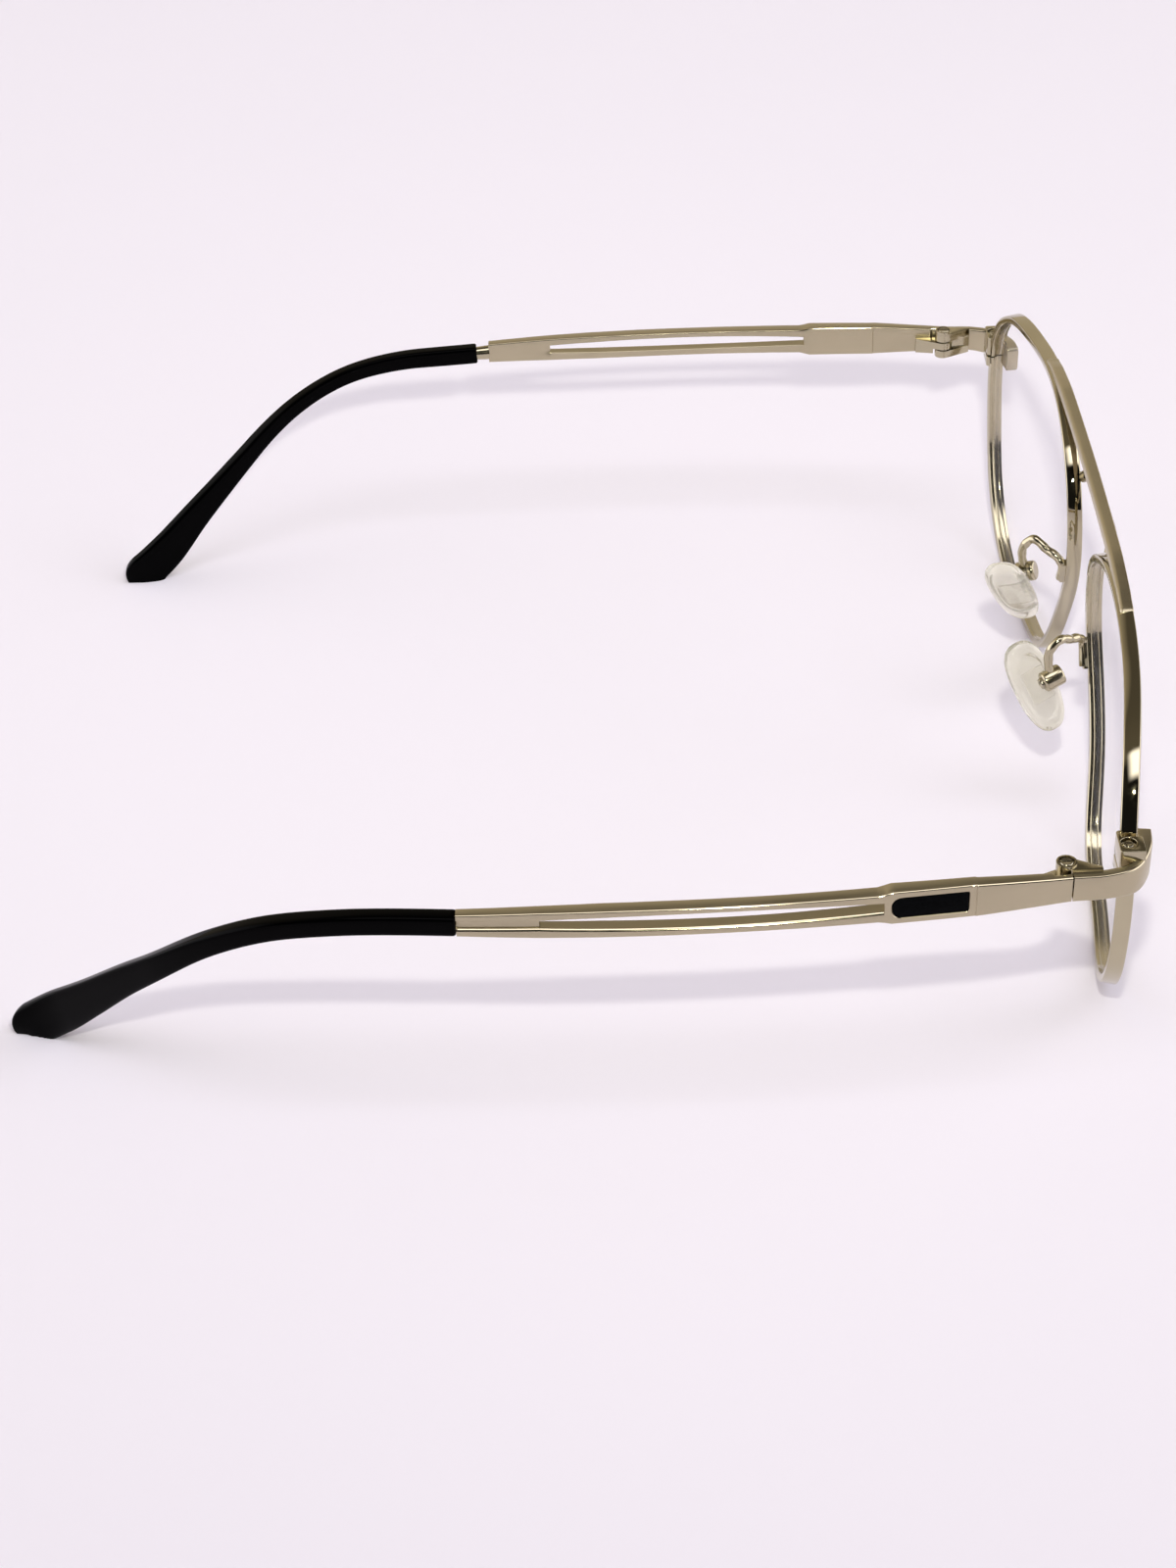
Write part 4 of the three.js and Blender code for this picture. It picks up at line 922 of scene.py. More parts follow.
def temple_mesh():
    """Rings of the arm from the hinge back; the slot's faces replace the side faces along it."""
    backs = np.unique(np.round(np.concatenate([
        STATIONS[:, 0], np.arange(0, TEMPLE_BODY, STATION_RUN),
        [SLOT_START - SLOT_STEP, SLOT_START, SLOT_END],
    ]), 4))
    rings = [temple_half(back, 1) + temple_half(back, -1) for back in backs]
    slotted = [SLOT_START <= back <= SLOT_END for back in backs]
    arc = len(BROKEN_EDGE)
    count = len(rings[0]) // 2
    last_top = 2 * arc
    faces = []
    for i in range(len(rings) - 1):
        here, there = i * 2 * count, (i + 1) * 2 * count
        through = slotted[i] and slotted[i + 1]
        for base in (0, count):
            for j in range(count):
                if j == last_top and not through:
                    continue
                a, b = base + j, base + (j + 1) % count
                faces.append((here + a, here + b, there + b, there + a))
        if not through:
            for j in (last_top, last_top + 1):
                faces.append((here + j, here + count + j, there + count + j, there + j))
    half_loop = [*range(last_top + 1, count), *range(last_top + 1)]
    end_loop = half_loop + [count + j for j in reversed(half_loop)]
    for i in (0, len(rings) - 1):
        faces.append(tuple(i * 2 * count + j for j in end_loop))
    for i, (a, b) in enumerate(zip(slotted, slotted[1:])):
        if a != b:
            base = (i + 1 if b else i) * 2 * count
            mouth = (last_top, last_top + 1, count + last_top + 1, count + last_top)
            faces.append(tuple(base + j for j in mouth))
    edge = np.zeros((len(rings), 2, count))
    edge[:, :, 1:arc - 1] = 1
    edge[backs >= SLOT_START, :, arc + 1:2 * arc - 1] = 1
    edge[:, :, count - arc + 1:count - 1] = 1
    return np.vstack(rings), faces, edge


def inlay_outline(grow):
    """Long strip with a large round at its rear end and nearly square at the front."""
    x = INLAY_LENGTH / 2 + grow
    z = INLAY_HEIGHT / 2 + grow
    points = []
    for radius, x_sign, z_sign, start in (
        (INLAY_ROUND, 1, -1, -90), (INLAY_ROUND, 1, 1, 0),
        (INLAY_SQUARE, -1, 1, 90), (INLAY_SQUARE, -1, -1, 180),
    ):
        reach = radius + grow
        for angle in np.radians(start + np.linspace(0, 90, 9)):
            points.append((
                x_sign * (x - reach) + reach * np.cos(angle),
                z_sign * (z - reach) + reach * np.sin(angle),
            ))
    return np.array(points)


def inlay_skin(layers):
    """Skin over the inlay's outline at heights outward of the panel, following the panel's bow."""
    place = PANEL_START + INLAY_BACK + INLAY_LENGTH / 2
    rings = []
    for grow, lift in layers:
        outline = inlay_outline(grow)
        x = -place - outline[:, 0]
        rings.append(np.column_stack([x, HINGE_Y + side_at(x) + lift, middle_at(x) + outline[:, 1]]))
    return skin(rings)


temple_points, temple_faces, temple_edge = temple_mesh()
for name, side in SIDES.items():
    temple = surface_piece(
        f"{name}_slotted_temple", temple_points, temple_faces, satin_gold, side, temple_edge
    )
    pocket = surface_piece(f"{name}_pocket", *inlay_skin(POCKET_LAYERS), satin_gold, side)
    combined(temple, "DIFFERENCE", pocket)
    dress(temple, f"{name}_temple_arm", "satin_gold", f"{name}_temple")

# Temple inlays. A thin strip of matt black filled resin is glued into a pocket in the outer face of
# each panel, a little below the metal. It is moulded with a broken edge, round at the rear end.

INLAY_LAYERS = [
    # growth of the inlay's outline, height outward of the panel
    (0, -INLAY_DEPTH), (0, -0.12), (-0.05, -0.06), (-0.13, -0.03),
]


def matt_finish(name, colour, roughness, unevenness, grain, grain_depth):
    """Filled resin: dull, with a fine speckle and a slight unevenness."""
    material, tree, place = new_material(name)
    speckle = mottle(tree, place, scale=grain, detail=3.0)
    return surfaced(material, {
        "Base Color": tinted(tree, speckle, colour, positions=(0.35, 0.75), shares=(0.7, 1.8)),
        "Roughness": ranged(tree, speckle, (0, 1), (roughness - unevenness, roughness + unevenness)),
        "Specular IOR Level": 0.02,
        "Normal": relief(tree, speckle, strength=0.4, depth=grain_depth),
    })


matt_black = matt_finish(
    "matt_black", colour=(0.0016, 0.0018, 0.0021), roughness=0.55, unevenness=0.08, grain=2600.0,
    grain_depth=1e-5,
)
for name, side in SIDES.items():
    strip = surface_piece(f"{name}_inlay_strip", *inlay_skin(INLAY_LAYERS), matt_black, side)
    dress(strip, f"{name}_temple_arm", "matt_black", f"{name}_temple_inlay")

# Temple tips. Glossy black acetate sleeves pushed over the arm's core wire, bent down behind the ear,
# hooked inward and widening to a flat paddle whose end rests on the table. Each is bent by hand, and
# the left one has slid back, so that its wire shows.

TIP_STRAIGHT = 11.3
TIP_BEND_RADIUS = 40.0
TIP_BEND = np.radians(44)
TIP_SPLAY_RATIO = 0.05
TIP_HOOK_RATIO = {"left": 0.328, "right": 0.371}
TIP_STRAIGHTENS = 10.6
TIP_END_HEIGHT = -0.6
TIP_END_ROUND = 4.7
TIP_END_FULLNESS = 1.02
TIP_END_WIDTH = 0.5
TIP_STATIONS = {
    # length behind the temple body, sag below the plain bend, half height, half width
    "left": [
        (0, 0.1, 1.4, 1.2), (8, 0.4, 1.4, 1.18), (16, 0.62, 1.33, 1.17), (24, 0.54, 1.25, 1.16),
        (32, 0.77, 1.25, 1.15), (40, 1.1, 1.38, 1.12), (48, 0.98, 1.78, 1.08), (56, 0.85, 2.38, 1.03),
        (62, 0.98, 3.0, 1.0), (68, 0.38, 3.15, 1.0), (71.42, -0.25, 3.55, 1.0),
    ],
    "right": [
        (0, 0, 1.4, 1.2), (8, -0.1, 1.42, 1.18), (16, 0.0, 1.42, 1.17), (24, -0.05, 1.42, 1.16),
        (32, 0.37, 1.48, 1.15), (40, 0.98, 1.68, 1.12), (48, 0.8, 2.03, 1.08), (56, 0.95, 2.53, 1.03),
        (62, 0.85, 2.98, 1.0), (68, 0.22, 3.12, 1.0), (71.42, -0.25, 3.55, 1.0),
    ],
}
TIP_SQUARENESS = 0.42
TIP_LIP_SHARES = [0, 0.001, 0.003, 0.006]
TIP_LIP_SIZES = [0.84, 0.93, 0.985, 1]
TIP_STEP = 0.05
TIP_BACK = {"left": 2.3, "right": 0.35}
NECK_SWELL = {"left": 1.55, "right": 1.0}
NECK_POWERS = (1.5, 0.7)
CORE_RADIUS = 0.6
CORE_START = 0.3
CORE_REACH = 4.0

tip_root = np.array([
    -TEMPLE_BODY, HINGE_Y + side_at(-TEMPLE_BODY) - TEMPLE_WALL / 2, middle_at(-TEMPLE_BODY)
])
bend_drop = TIP_BEND_RADIUS * (1 - np.cos(TIP_BEND))
tip_slope = (tip_root[2] - bend_drop - TIP_END_HEIGHT) / np.sin(TIP_BEND)
TIP_LENGTH = TIP_STRAIGHT + TIP_BEND * TIP_BEND_RADIUS + tip_slope
tip_tables = {name: smooth_path(stations, 400).T for name, stations in TIP_STATIONS.items()}


def tip_line(s, name):
    """Centre line of the tip at lengths behind the temple body."""
    bend = np.maximum(0, s - TIP_STRAIGHT)
    turned = np.minimum(bend / TIP_BEND_RADIUS, TIP_BEND)
    slope = np.maximum(0, bend - TIP_BEND * TIP_BEND_RADIUS)
    back = np.minimum(s, TIP_STRAIGHT) + TIP_BEND_RADIUS * np.sin(turned) + slope * np.cos(TIP_BEND)
    down = TIP_BEND_RADIUS * (1 - np.cos(turned)) + slope * np.sin(TIP_BEND)
    down = down + np.interp(s, tip_tables[name][0], tip_tables[name][1])
    straightens = np.maximum(0, slope - tip_slope + TIP_STRAIGHTENS) ** 2 / (2 * TIP_STRAIGHTENS)
    hooked = TIP_BEND_RADIUS * turned**2 / (2 * TIP_BEND) + slope - straightens
    inward = TIP_SPLAY_RATIO * s + TIP_HOOK_RATIO[name] * hooked
    return tip_root - np.column_stack([back, inward, down])


def squared_round(turn, squareness):
    """A round outline drawn toward its square, as columns of two halves."""
    return np.column_stack([
        np.sign(f(turn)) * np.abs(f(turn)) ** squareness for f in (np.cos, np.sin)
    ])


def acetate_finish(name, colour, roughness, scratching):
    """Tumbled acetate: deep gloss with a faint clouding and hair-fine scratches."""
    material, tree, place = new_material(name)
    cloud = mottle(tree, place, scale=160.0, detail=4.0)
    lines = feed(tree, "ShaderNodeMapping", {"Vector": place, "Scale": (0.05, 1.0, 0.6)})
    scratch = mottle(tree, lines, scale=4000.0, detail=1.0)
    return surfaced(material, {
        "Base Color": tinted(tree, cloud, colour, positions=(0.3, 0.8), shares=(0.8, 1.5)),
        "Roughness": ranged(tree, scratch, (0.3, 0.8), (roughness, roughness + scratching)),
        "Specular IOR Level": 0.03, "Normal": relief(tree, cloud, strength=0.2, depth=2e-6),
    })


gloss_black = acetate_finish(
    "gloss_black", colour=(0.0004, 0.0004, 0.0005), roughness=0.03, scratching=0.05
)
tip_section = section_outline(
    "tip_section", squared_round(np.radians(np.arange(0, 360, 9) + 4.5), TIP_SQUARENESS)
)
tip_shares = np.concatenate([TIP_LIP_SHARES, np.linspace(0.012, 0.93, 90), np.linspace(0.935, 1, 26)])
lip_round = np.interp(tip_shares, TIP_LIP_SHARES, TIP_LIP_SIZES)
for name, side in SIDES.items():
    tip_table = tip_tables[name]
    lengths = TIP_BACK[name] + tip_shares * (TIP_LENGTH - TIP_BACK[name])
    into_end = np.maximum(0, lengths - TIP_LENGTH + TIP_END_ROUND) / TIP_END_ROUND
    end_round = np.minimum(1, np.sqrt(TIP_END_FULLNESS - into_end**2))
    tip_high = np.interp(lengths, tip_table[0], tip_table[2]) * end_round * lip_round
    end_width = TIP_END_WIDTH + (1 - TIP_END_WIDTH) * end_round
    tip_wide = np.interp(lengths, tip_table[0], tip_table[3]) * end_width * lip_round
    along = unit(tip_line(lengths + TIP_STEP, name) - tip_line(lengths - TIP_STEP, name))
    across = unit(np.cross((0, 0, 1), along))
    rise = np.cross(along, across)
    tip = swept(
        f"{name}_acetate_tip", tip_line(lengths, name), across * tip_wide[:, None],
        rise * tip_high[:, None], tip_section, 2, 2, gloss_black, side,
    )
    points = np.array([v.co for v in tip.data.vertices])
    slide = along[-1] * (1, side, 1)
    below = points[:, 2] < 0
    points[below] -= slide * (points[below, 2] / slide[2])[:, None]
    tip.data.vertices.foreach_set("co", points.astype(np.float32).ravel())
    finish_surface(tip)
    dress(tip, f"{name}_temple_arm", "gloss_black", f"{name}_temple_tip")
    core_path = tip_line(np.linspace(CORE_START, TIP_BACK[name] + CORE_REACH, 24), name)
    swell_ends = [NECK_SWELL[name] ** power for power in NECK_POWERS]
    swell = np.linspace(*swell_ends, len(core_path))[:, None]
    core_across, core_rise = carried_frame(core_path)
    core = swept(
        f"{name}_core_wire", core_path, core_across * swell, core_rise * swell, wire_section,
        2 * CORE_RADIUS, 2 * CORE_RADIUS, polished_gold, side,
    )
    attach(core, f"{name}_temple_arm")

# Nose pads. Soft clear silicone cushions, moulded round a stiff clear core with a lug. They lie
# against the nose on their crowned faces.

PAD_CENTRE = np.array([4.6, 12.2, 21.0])
PAD_UP = unit(np.array([-0.41, -0.305, 0.84]))
PAD_LEAN = np.array([-0.32, -0.86, 0.0])
PAD_HALF_LENGTH = 6.8
PAD_HALF_WIDTH = 3.0
PAD_BACK = 1.0
PAD_CROWN = 1.25
PAD_TAPER = 0.08
PAD_SQUARENESS = 0.78
PAD_PROFILE = [
    # share of the outline, height toward the nose
    (0.3, -PAD_BACK * 0.6), (0.5, -PAD_BACK * 0.6), (0.66, -PAD_BACK * 0.62),
    (0.76, -PAD_BACK * 0.95), (0.84, -PAD_BACK), (0.93, -PAD_BACK * 0.8), (1.0, -PAD_BACK * 0.1),
    (0.98, PAD_CROWN * 0.3), (0.9, PAD_CROWN * 0.62), (0.72, PAD_CROWN * 0.85),
    (0.4, PAD_CROWN * 0.98), (0.3, PAD_CROWN),
]
PIVOT = np.array([2.0, 0.7, -2.7])

pad_face = unit(PAD_LEAN - PAD_UP * (PAD_LEAN @ PAD_UP))
pad_axes = np.array([np.cross(PAD_UP, pad_face), PAD_UP, pad_face])


def on_pad(points):
    """From the pad's own directions, forward, up and toward the nose, to the glasses."""
    return PAD_CENTRE + np.asarray(points, float) @ pad_axes


def silicone_finish(name, colour, gloss):
    """Moulded silicone: cloudy and translucent, with a soft skin and a trace of yellowing."""
    material, tree, place = new_material(name)
    cloud = mottle(tree, place, scale=420.0, detail=3.0)
    return surfaced(material, {
        "Base Color": tinted(tree, cloud, colour, positions=(0.3, 0.75), shares=(0.95, 1.03)),
        "Roughness": ranged(tree, cloud, (0, 1), gloss), "IOR": 1.41, "Transmission Weight": 0.78,
        "Normal": relief(tree, cloud, strength=0.3, depth=2e-5),
    })


silicone = silicone_finish("silicone", colour=(0.93, 0.91, 0.8), gloss=(0.05, 0.13))
clear_core = clear_finish(
    "clear_core", tint=(0.93, 0.92, 0.86), presence=0.55, roughness=0.05, ior=1.47, smear=0.1
)
pad_turn = full_turn(5)
pad_wide, pad_long = squared_round(pad_turn, PAD_SQUARENESS).T
taper = 1 + PAD_TAPER * np.sin(pad_turn)
pad_points, pad_faces = skin([
    on_pad(np.column_stack([
        PAD_HALF_WIDTH * share * taper * pad_wide, PAD_HALF_LENGTH * share * pad_long,
        np.full(len(pad_turn), height),
    ]))
    for share, height in smooth_path(PAD_PROFILE, 56)
])
for name, side in SIDES.items():
    cushion = surface_piece(f"{name}_silicone_pad", pad_points, pad_faces, silicone, side)
    dress(cushion, f"{name}_pad", "silicone", f"{name}_nose_pad")
    core_node = frame["nodes"][f"{name}_pad_insert"]
    core_node.data.materials.clear()
    core_node.data.materials.append(clear_core)

# Pad arms. A wire is brazed by its flattened foot to the back of each rim, loops up and back, and
# carries a small slotted barrel, the box, which takes the pad's lug.

ARM_RADIUS = 0.63
ARM_FOOT_LOW = 23.6
ARM_FOOT_HIGH = 26.8
ARM_CREST = 29.1
ARM_CREST_WAY = 0.85
ARM_CLIMB = [(0.2, 0.4), (0.5, 0.6)]  # share of the way to the crest, share of the climb
ARM_FALL = [(0.75, 1.0), (0.4, 0.85)]  # share of the way up to the crest, share of the belly
ARM_BELLY = np.array([-1.1, 0.3, 0.0])
ARM_ENTRY = 0.8
BOX_RADIUS = 1.45
BOX_LENGTH = 3.0
BOX_EDGE = 0.35
BOX_FACE = (0.35, 0.62)  # rings of the flat end, as shares of the radius
BOX_SLOT = 1.2
BOX_SLOT_FLOOR = 0.2
BOX_CUT = 3
TAB_WIDTH = 1.2
TAB_WALL = 0.7
TAB_ROUND = 0.3
TAB_OVER = 0.35
PINCH = 0.045
PINCH_RUN = 1.7
PINCH_STARTS = (3.5, 4.5)

pivot = on_pad(PIVOT)


def arm_foot(height):
    """Middle of the wire where it lies on the back of the rim."""
    centre, _, forward = rim_spot(rim_place(height, *NOSE_SIDE))
    return centre - forward * (RIM_DEPTH / 2 + ARM_RADIUS - BRAZE)


def climbing(a, b, share, z):
    """Point part of the way from one point to another, at its own height."""
    return np.array([*between(a, b, share)[:2], z])


foot_low = arm_foot(ARM_FOOT_LOW)
foot_high = arm_foot(ARM_FOOT_HIGH)
crest = climbing(foot_high, pivot, ARM_CREST_WAY, ARM_CREST)
rise_height = ARM_CREST - foot_high[2]
arm_path = smooth_path([
    foot_low, foot_high,
    *(climbing(foot_high, crest, way, foot_high[2] + rise_height * up) for way, up in ARM_CLIMB), crest,
    *(between(pivot, crest, way) + belly * ARM_BELLY for way, belly in ARM_FALL), pivot,
], 140)
arm_path = arm_path[np.linalg.norm(arm_path - pivot, axis=1) > BOX_RADIUS * ARM_ENTRY]
arm_run = run_along(arm_path)
pinched = 1 + PINCH * np.sin(2 * np.pi * arm_run / PINCH_RUN) * smooth_step(arm_run, *PINCH_STARTS)
arm_across, arm_rise = (way * pinched[:, None] for way in carried_frame(arm_path))
tab_ends = (
    rim_place(height, *NOSE_SIDE) for height in (ARM_FOOT_LOW - TAB_OVER, ARM_FOOT_HIGH + TAB_OVER)
)
tab_path, tab_out, tab_forward = rim_frame(np.linspace(*tab_ends, 16))
tab_path = tab_path + EYE - tab_forward * (RIM_DEPTH / 2 + TAB_WALL / 2 - BRAZE)
tab_section = section_outline("tab_section", rounded_box(-1, 1, -1, 1, TAB_ROUND))
slot_corners = [
    (-BOX_CUT, -BOX_SLOT_FLOOR), (BOX_CUT, -BOX_SLOT_FLOOR), (BOX_CUT, BOX_CUT), (-BOX_CUT, BOX_CUT)
]
slot_points, slot_faces = skin([
    on_pad([PIVOT + (x, y, z) for y, z in slot_corners]) for x in (-BOX_SLOT / 2, BOX_SLOT / 2)
])
box_profile = [(-BOX_LENGTH / 2, share) for share in BOX_FACE]
box_profile += [
    (x - BOX_LENGTH / 2, (BOX_RADIUS - y) / BOX_RADIUS) for x, y in quarter_round(BOX_EDGE, BOX_EDGE, 4)
]
box_profile += [(-along, share) for along, share in reversed(box_profile)]


def lathe(profile, count=36):
    """Rings of a turned shape, from pairs of radius and height along its axis."""
    turn = full_turn(360 / count)
    return [
        np.column_stack([r * np.cos(turn), r * np.sin(turn), np.full(count, z)]) for r, z in profile
    ]


box_rings = lathe([(BOX_RADIUS * share, along) for along, share in box_profile])
box_points, box_faces = skin([on_pad(PIVOT + ring[:, [2, 0, 1]]) for ring in box_rings])
for name, side in SIDES.items():
    arm = swept(
        f"{name}_wire_arm", arm_path, arm_across, arm_rise, wire_section,
        2 * ARM_RADIUS, 2 * ARM_RADIUS, polished_gold, side,
    )
    tab = swept(
        "tab", tab_path, tab_out, tab_forward, tab_section, TAB_WIDTH, TAB_WALL, polished_gold, side
    )
    combined(arm, "UNION", tab)
    dress(arm, "front", "polished_gold", f"{name}_pad_arm")
    box = surface_piece(f"{name}_box_barrel", box_points, box_faces, polished_gold, side)
    combined(box, "DIFFERENCE", surface_piece("slot", slot_points, slot_faces, polished_gold, side))
    dress(box, "front", "polished_gold", f"{name}_pad_box")

for outline in (eyewire_section, wire_section, tip_section, tab_section):
    bpy.data.objects.remove(outline)

# Screws. Small slotted screws, turned from steel and plated, close the rim locks, pin the hinges and
# hold the pads in their boxes. One of each kind is set on the left and one on the right.

SCREW_SLOT = 0.26
SCREW_EDGE = 0.03
SCREW_LIFT = 0.02
SCREW_CORE = 0.05
SCREW_DOME = [(1, 0), (1, 0.6), (0.95, 0.84), (0.84, 1)]  # shares of the head's radius and height
lock_screw_seat = (*lock_bore, lock_high - LOCK_SINK + SCREW_LIFT)
SCREWS = [
    # kind, seat, way that its head faces, head radius, head height, shank radius, shank length
    ("rim_lock_screw", lock_screw_seat, (0, 0, 1), 0.7, 0.45, 0.45, 2.6),
    ("hinge_screw", (0, HINGE_Y, stack_high + SCREW_LIFT), (0, 0, 1), 0.86, 0.46, 0.5, 3.6),
    ("pad_screw", on_pad(PIVOT - (BOX_LENGTH / 2, 0, 0)), -pad_axes[0], 0.78, 0.45, 0.4, 2.8),
]


def set_screws_tree():
    """Sets a screw on every given point, its head turned the way the point faces."""
    tree, sockets, given = geometry_tree(
        "set_screws", {"Places": "Geometry", "Screw": "Object", "Finish": "Material"}
    )
    turned = feed(
        tree, "FunctionNodeAlignRotationToVector", {"Vector": held_vector(tree, "facing")}, axis="Z"
    )
    pattern = feed(tree, "GeometryNodeObjectInfo", {"Object": given.outputs["Screw"]})
    placed = feed(tree, "GeometryNodeInstanceOnPoints", {
        "Points": given.outputs["Places"], "Instance": pattern.outputs["Geometry"], "Rotation": turned,
    })
    end_tree(tree, placed, given.outputs["Finish"])
    return tree, sockets


def screw_pattern(head, rise, shank, length):
    """One slotted screw at the origin, head up, standing on its seat."""
    profile = [(SCREW_CORE, -length), (shank, -length), (shank, 0)]
    profile += [(head * wide, rise * high) for wide, high in SCREW_DOME] + [(SCREW_CORE, rise)]
    half, floor, top = SCREW_SLOT / 2, rise - SCREW_SLOT, 2 * rise
    slot_ends = [
        [(x, -half, floor), (x, half, floor), (x, half, top), (x, -half, top)]
        for x in (-2 * head, 2 * head)
    ]
    parts = []
    for rings in (lathe(profile), slot_ends):
        drawn, faces = skin(rings)
        mesh = bpy.data.meshes.new("screw")
        mesh.from_pydata(drawn * MM, [], faces)
        parts.append(new_object("screw", mesh))
        finish_surface(parts[-1])
    return softened(combined(parts[0], "DIFFERENCE", parts[1]), SCREW_EDGE)


SET_SCREWS, SCREW_SOCKETS = set_screws_tree()
screw_steel = gold_finish(
    "screw_steel", colour=(0.42, 0.38, 0.29), roughness=0.2, unevenness=0.06, grain=1800.0,
    grain_depth=4e-6,
)
for kind, seat, facing, *sizes in SCREWS:
    pattern = screw_pattern(*sizes)
    mesh = bpy.data.meshes.new(f"{kind}s")
    mesh.from_pydata([in_frame(seat, side) for side in SIDES.values()], [], [])
    hold(mesh, "facing", [np.array(facing) * (1, side, 1) for side in SIDES.values()], "FLOAT_VECTOR")
    screws = made_by(
        new_object(f"{kind}s", mesh), SET_SCREWS, SCREW_SOCKETS,
        {"Screw": pattern, "Finish": screw_steel},
    )
    bpy.data.objects.remove(pattern)
    dress(screws, "front", "screw_gold", *(f"{side_name}_{kind}" for side_name in SIDES))

# Studio. A pale laminate table top between two bright side windows and under a bright panel, in a
# room that is dim and warm behind the glasses and dark behind the camera. One small soft lamp, hung
# a little ahead of the camera, casts the shadows.

FLOOR_SIZE = 4.0
FLOOR_BELOW = 2e-5
TABLE_TONES = [(0.86, 0.828, 0.928, 1), (0.88, 0.843, 0.943, 1)]
WINDOW_LEVEL = 2.5
WINDOW_EDGE = (0.6, 0.9)
PANEL_LEVEL = 3.3
PANEL_EDGES = [
    # axis, where the panel has faded out, where it is full
    ("X", -0.4, -0.15), ("X", 0.7, 0.5), ("Y", -0.5, -0.35), ("Y", 0.0, -0.1),
]
DAYLIGHT = (0.98, 0.96, 1.0, 1)
ROOM_SPAN = (-0.75, 0.75)
ROOM_TONES = [
    # share of the way from the camera's side to the far side, colour
    (0.0, (0.008, 0.008, 0.008)), (0.34, (0.02, 0.018, 0.015)), (0.5, (0.5, 0.43, 0.32)),
    (1.0, (0.36, 0.313, 0.237)),
]
FADE_WAY = (-4.4, 0.0, -8.1)
FADE_SPAN = (-5.85, -4.4)
FADE_LEVELS = (0.35, 1.8)
LAMP_PLACE = np.array([-30.0, -220.0, 224.0])
LAMP_AIM = np.array([-20.0, 600.0, 200.0])
LAMP_SIZE = 14.0
LAMP_POWER = 4.7
LAMP_COLOUR = (1.0, 1.0, 0.84)

floor_mesh = bpy.data.meshes.new("table_top")
floor_corners = [(-1, -1), (1, -1), (1, 1), (-1, 1)]
floor_mesh.from_pydata(
    [(x * FLOOR_SIZE, y * FLOOR_SIZE, -FLOOR_BELOW) for x, y in floor_corners], [], [(0, 1, 2, 3)]
)
table_finish, table_tree, table_place = new_material("table_laminate")
table_cloud = mottle(table_tree, table_place, scale=9.0, detail=2.0)
table_tone = feed(table_tree, "ShaderNodeValToRGB", {"Fac": table_cloud})
for stop, tone in zip(table_tone.color_ramp.elements, TABLE_TONES):
    stop.color = tone
surfaced(table_finish, {"Base Color": table_tone, "Roughness": 0.7, "Specular IOR Level": 0.2})
floor_mesh.materials.append(table_finish)
table_top = new_object("table_top", floor_mesh)

world = bpy.data.worlds.new("soft_sky")
bpy.context.scene.world = world
world.use_nodes = True
sky = world.node_tree
sky.nodes.clear()
sky_way = feed(sky, "ShaderNodeTexCoord", {}).outputs["Generated"]
sky_axes = feed(sky, "ShaderNodeSeparateXYZ", {0: sky_way}).outputs
room = feed(sky, "ShaderNodeValToRGB", {"Fac": ranged(sky, sky_axes["Y"], ROOM_SPAN)})
room.color_ramp.interpolation = "EASE"
for position, colour in ROOM_TONES:
    stops = room.color_ramp.elements
    stop = stops[0] if position == 0 else stops[-1] if position == 1 else stops.new(position)
    stop.color = (*colour, 1)
lean = feed(sky, "ShaderNodeVectorMath", {0: sky_way, 1: FADE_WAY}, operation="DOT_PRODUCT")
fading = ranged(sky, lean.outputs["Value"], FADE_SPAN, FADE_LEVELS)
room_light = feed(sky, "ShaderNodeBackground", {"Color": room, "Strength": fading})
panel_area, *panel_edges = [
    ranged(sky, sky_axes[axis], (dark, lit), interpolation_type="SMOOTHSTEP")
    for axis, dark, lit in PANEL_EDGES
]
for edge in panel_edges:
    panel_area = feed(sky, "ShaderNodeMath", {0: panel_area, 1: edge}, operation="MULTIPLY")
sideways = feed(sky, "ShaderNodeMath", {0: sky_axes["X"]}, operation="ABSOLUTE")
window_area = ranged(sky, sideways, WINDOW_EDGE, interpolation_type="SMOOTHSTEP")
sky_light = room_light
for area, level in ((panel_area, PANEL_LEVEL), (window_area, WINDOW_LEVEL)):
    bright = feed(sky, "ShaderNodeBackground", {"Color": DAYLIGHT, "Strength": level})
    sky_light = feed(sky, "ShaderNodeMixShader", {0: area, 1: sky_light, 2: bright})
feed(sky, "ShaderNodeOutputWorld", {"Surface": sky_light})


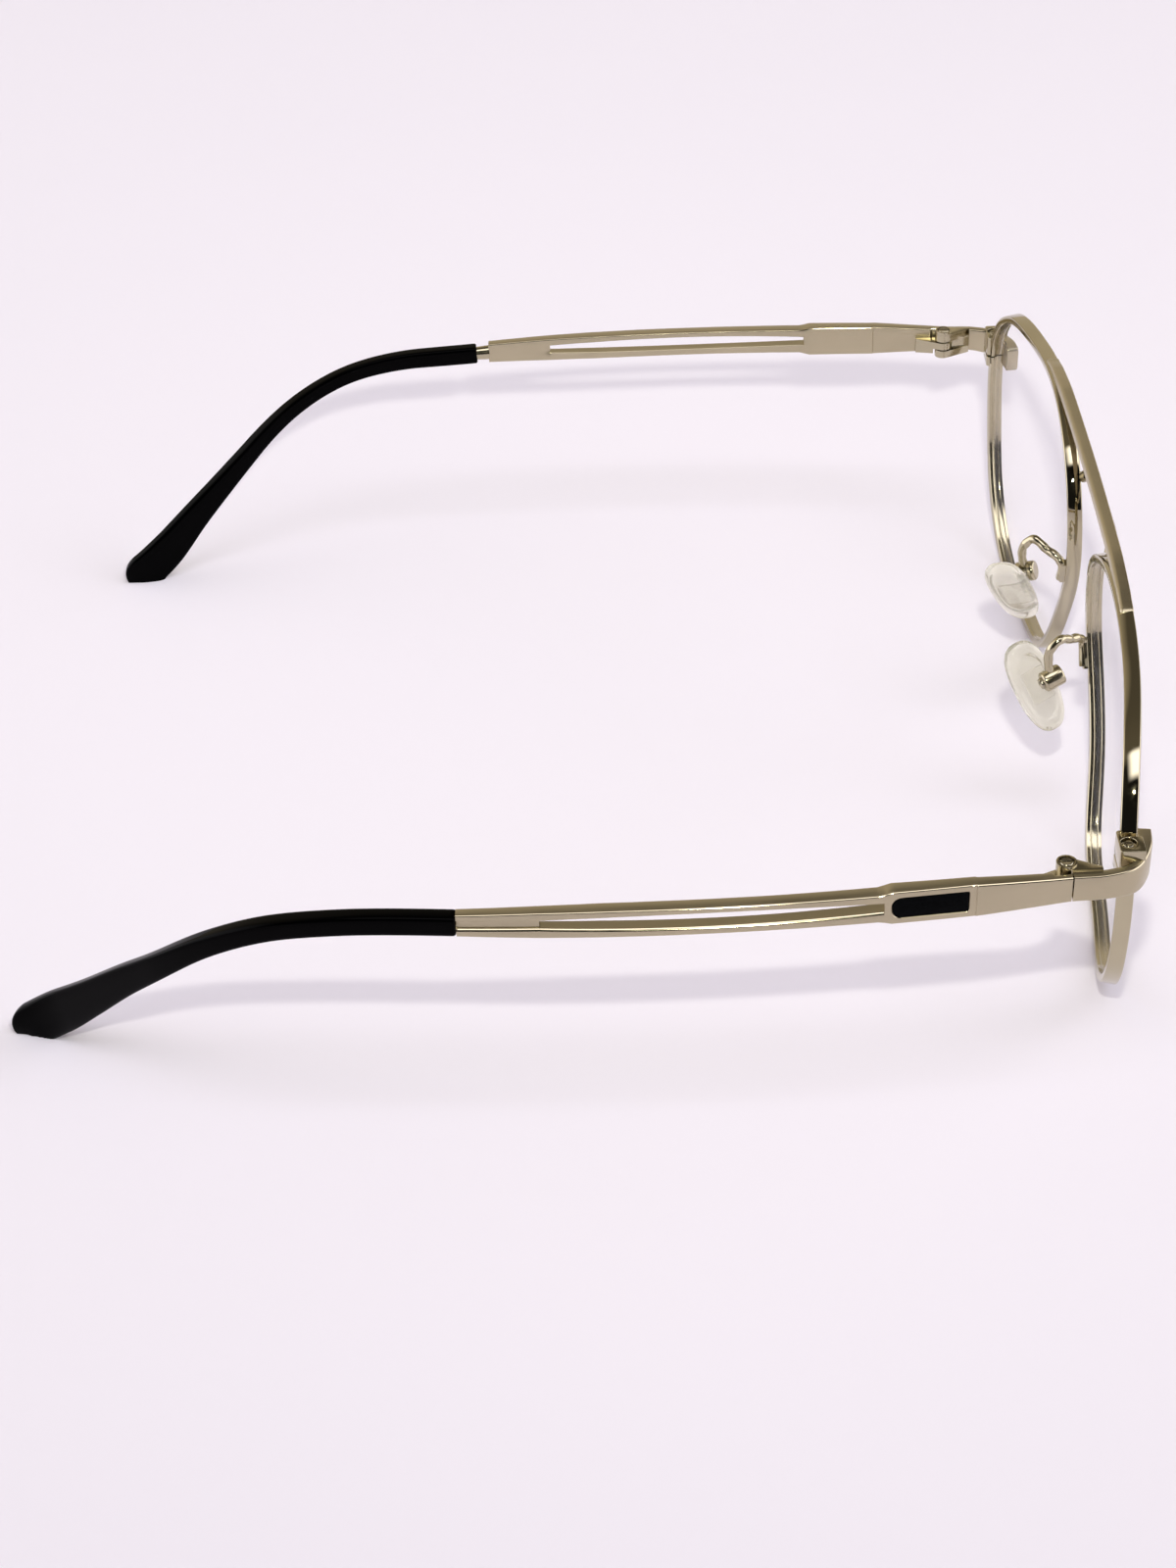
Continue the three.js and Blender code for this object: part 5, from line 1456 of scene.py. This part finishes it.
def look_from(place, aim):
    """Placement of a lamp at a point, facing another, both in millimetres."""
    back = unit(np.array(place) - np.array(aim))
    right = unit(np.cross((0, 0, 1), back))
    turn = np.column_stack([right, np.cross(back, right), back])
    return Matrix.Translation(in_frame(place)) @ Matrix(turn.tolist()).to_4x4()


lamp_light = bpy.data.lights.new("soft_lamp", "AREA")
lamp_light.shape = "DISK"
lamp_light.size = LAMP_SIZE * MM
lamp_light.energy = LAMP_POWER
lamp_light.color = LAMP_COLOUR
lamp_light.use_nodes = True
lamp_tree = lamp_light.node_tree
even = feed(lamp_tree, "ShaderNodeLightFalloff", {"Strength": 1.0})
lamp_tree.links.new(even.outputs["Constant"], lamp_tree.nodes["Emission"].inputs["Strength"])
lamp = new_object("soft_lamp", lamp_light)
lamp.matrix_world = look_from(LAMP_PLACE, LAMP_AIM)

# Camera. It stands at the wearer's right and looks down on the right temple from the distance of an
# arm, a little turned and rolled. Its place and lens were fitted to the photograph.

CAMERA_PLACE = (-50.4465, -322.8875, 235.9425)
YAW, PITCH, ROLL = -0.0228, 0.6361, -0.0422
FOCAL_PIXELS = 2788.6
FRAME_PIXELS = 1600
SENSOR = 36.0
NEAREST = 0.01

ahead = np.array([np.sin(YAW) * np.cos(PITCH), np.cos(YAW) * np.cos(PITCH), -np.sin(PITCH)])
level = np.array([np.cos(YAW), -np.sin(YAW), 0.0])
overhead = np.cross(level, ahead)
right = np.cos(ROLL) * level + np.sin(ROLL) * overhead
upward = np.cos(ROLL) * overhead - np.sin(ROLL) * level
camera_data = bpy.data.cameras.new("photo_camera")
camera_data.sensor_width = SENSOR
camera_data.lens = FOCAL_PIXELS * SENSOR / FRAME_PIXELS
camera_data.clip_start = NEAREST
camera = new_object("photo_camera", camera_data)
camera_turn = Matrix(np.column_stack([right, upward, -ahead]).tolist()).to_4x4()
camera.matrix_world = Matrix.Translation(in_frame(CAMERA_PLACE)) @ camera_turn
bpy.context.scene.camera = camera
bpy.context.scene.view_settings.view_transform = "Standard"
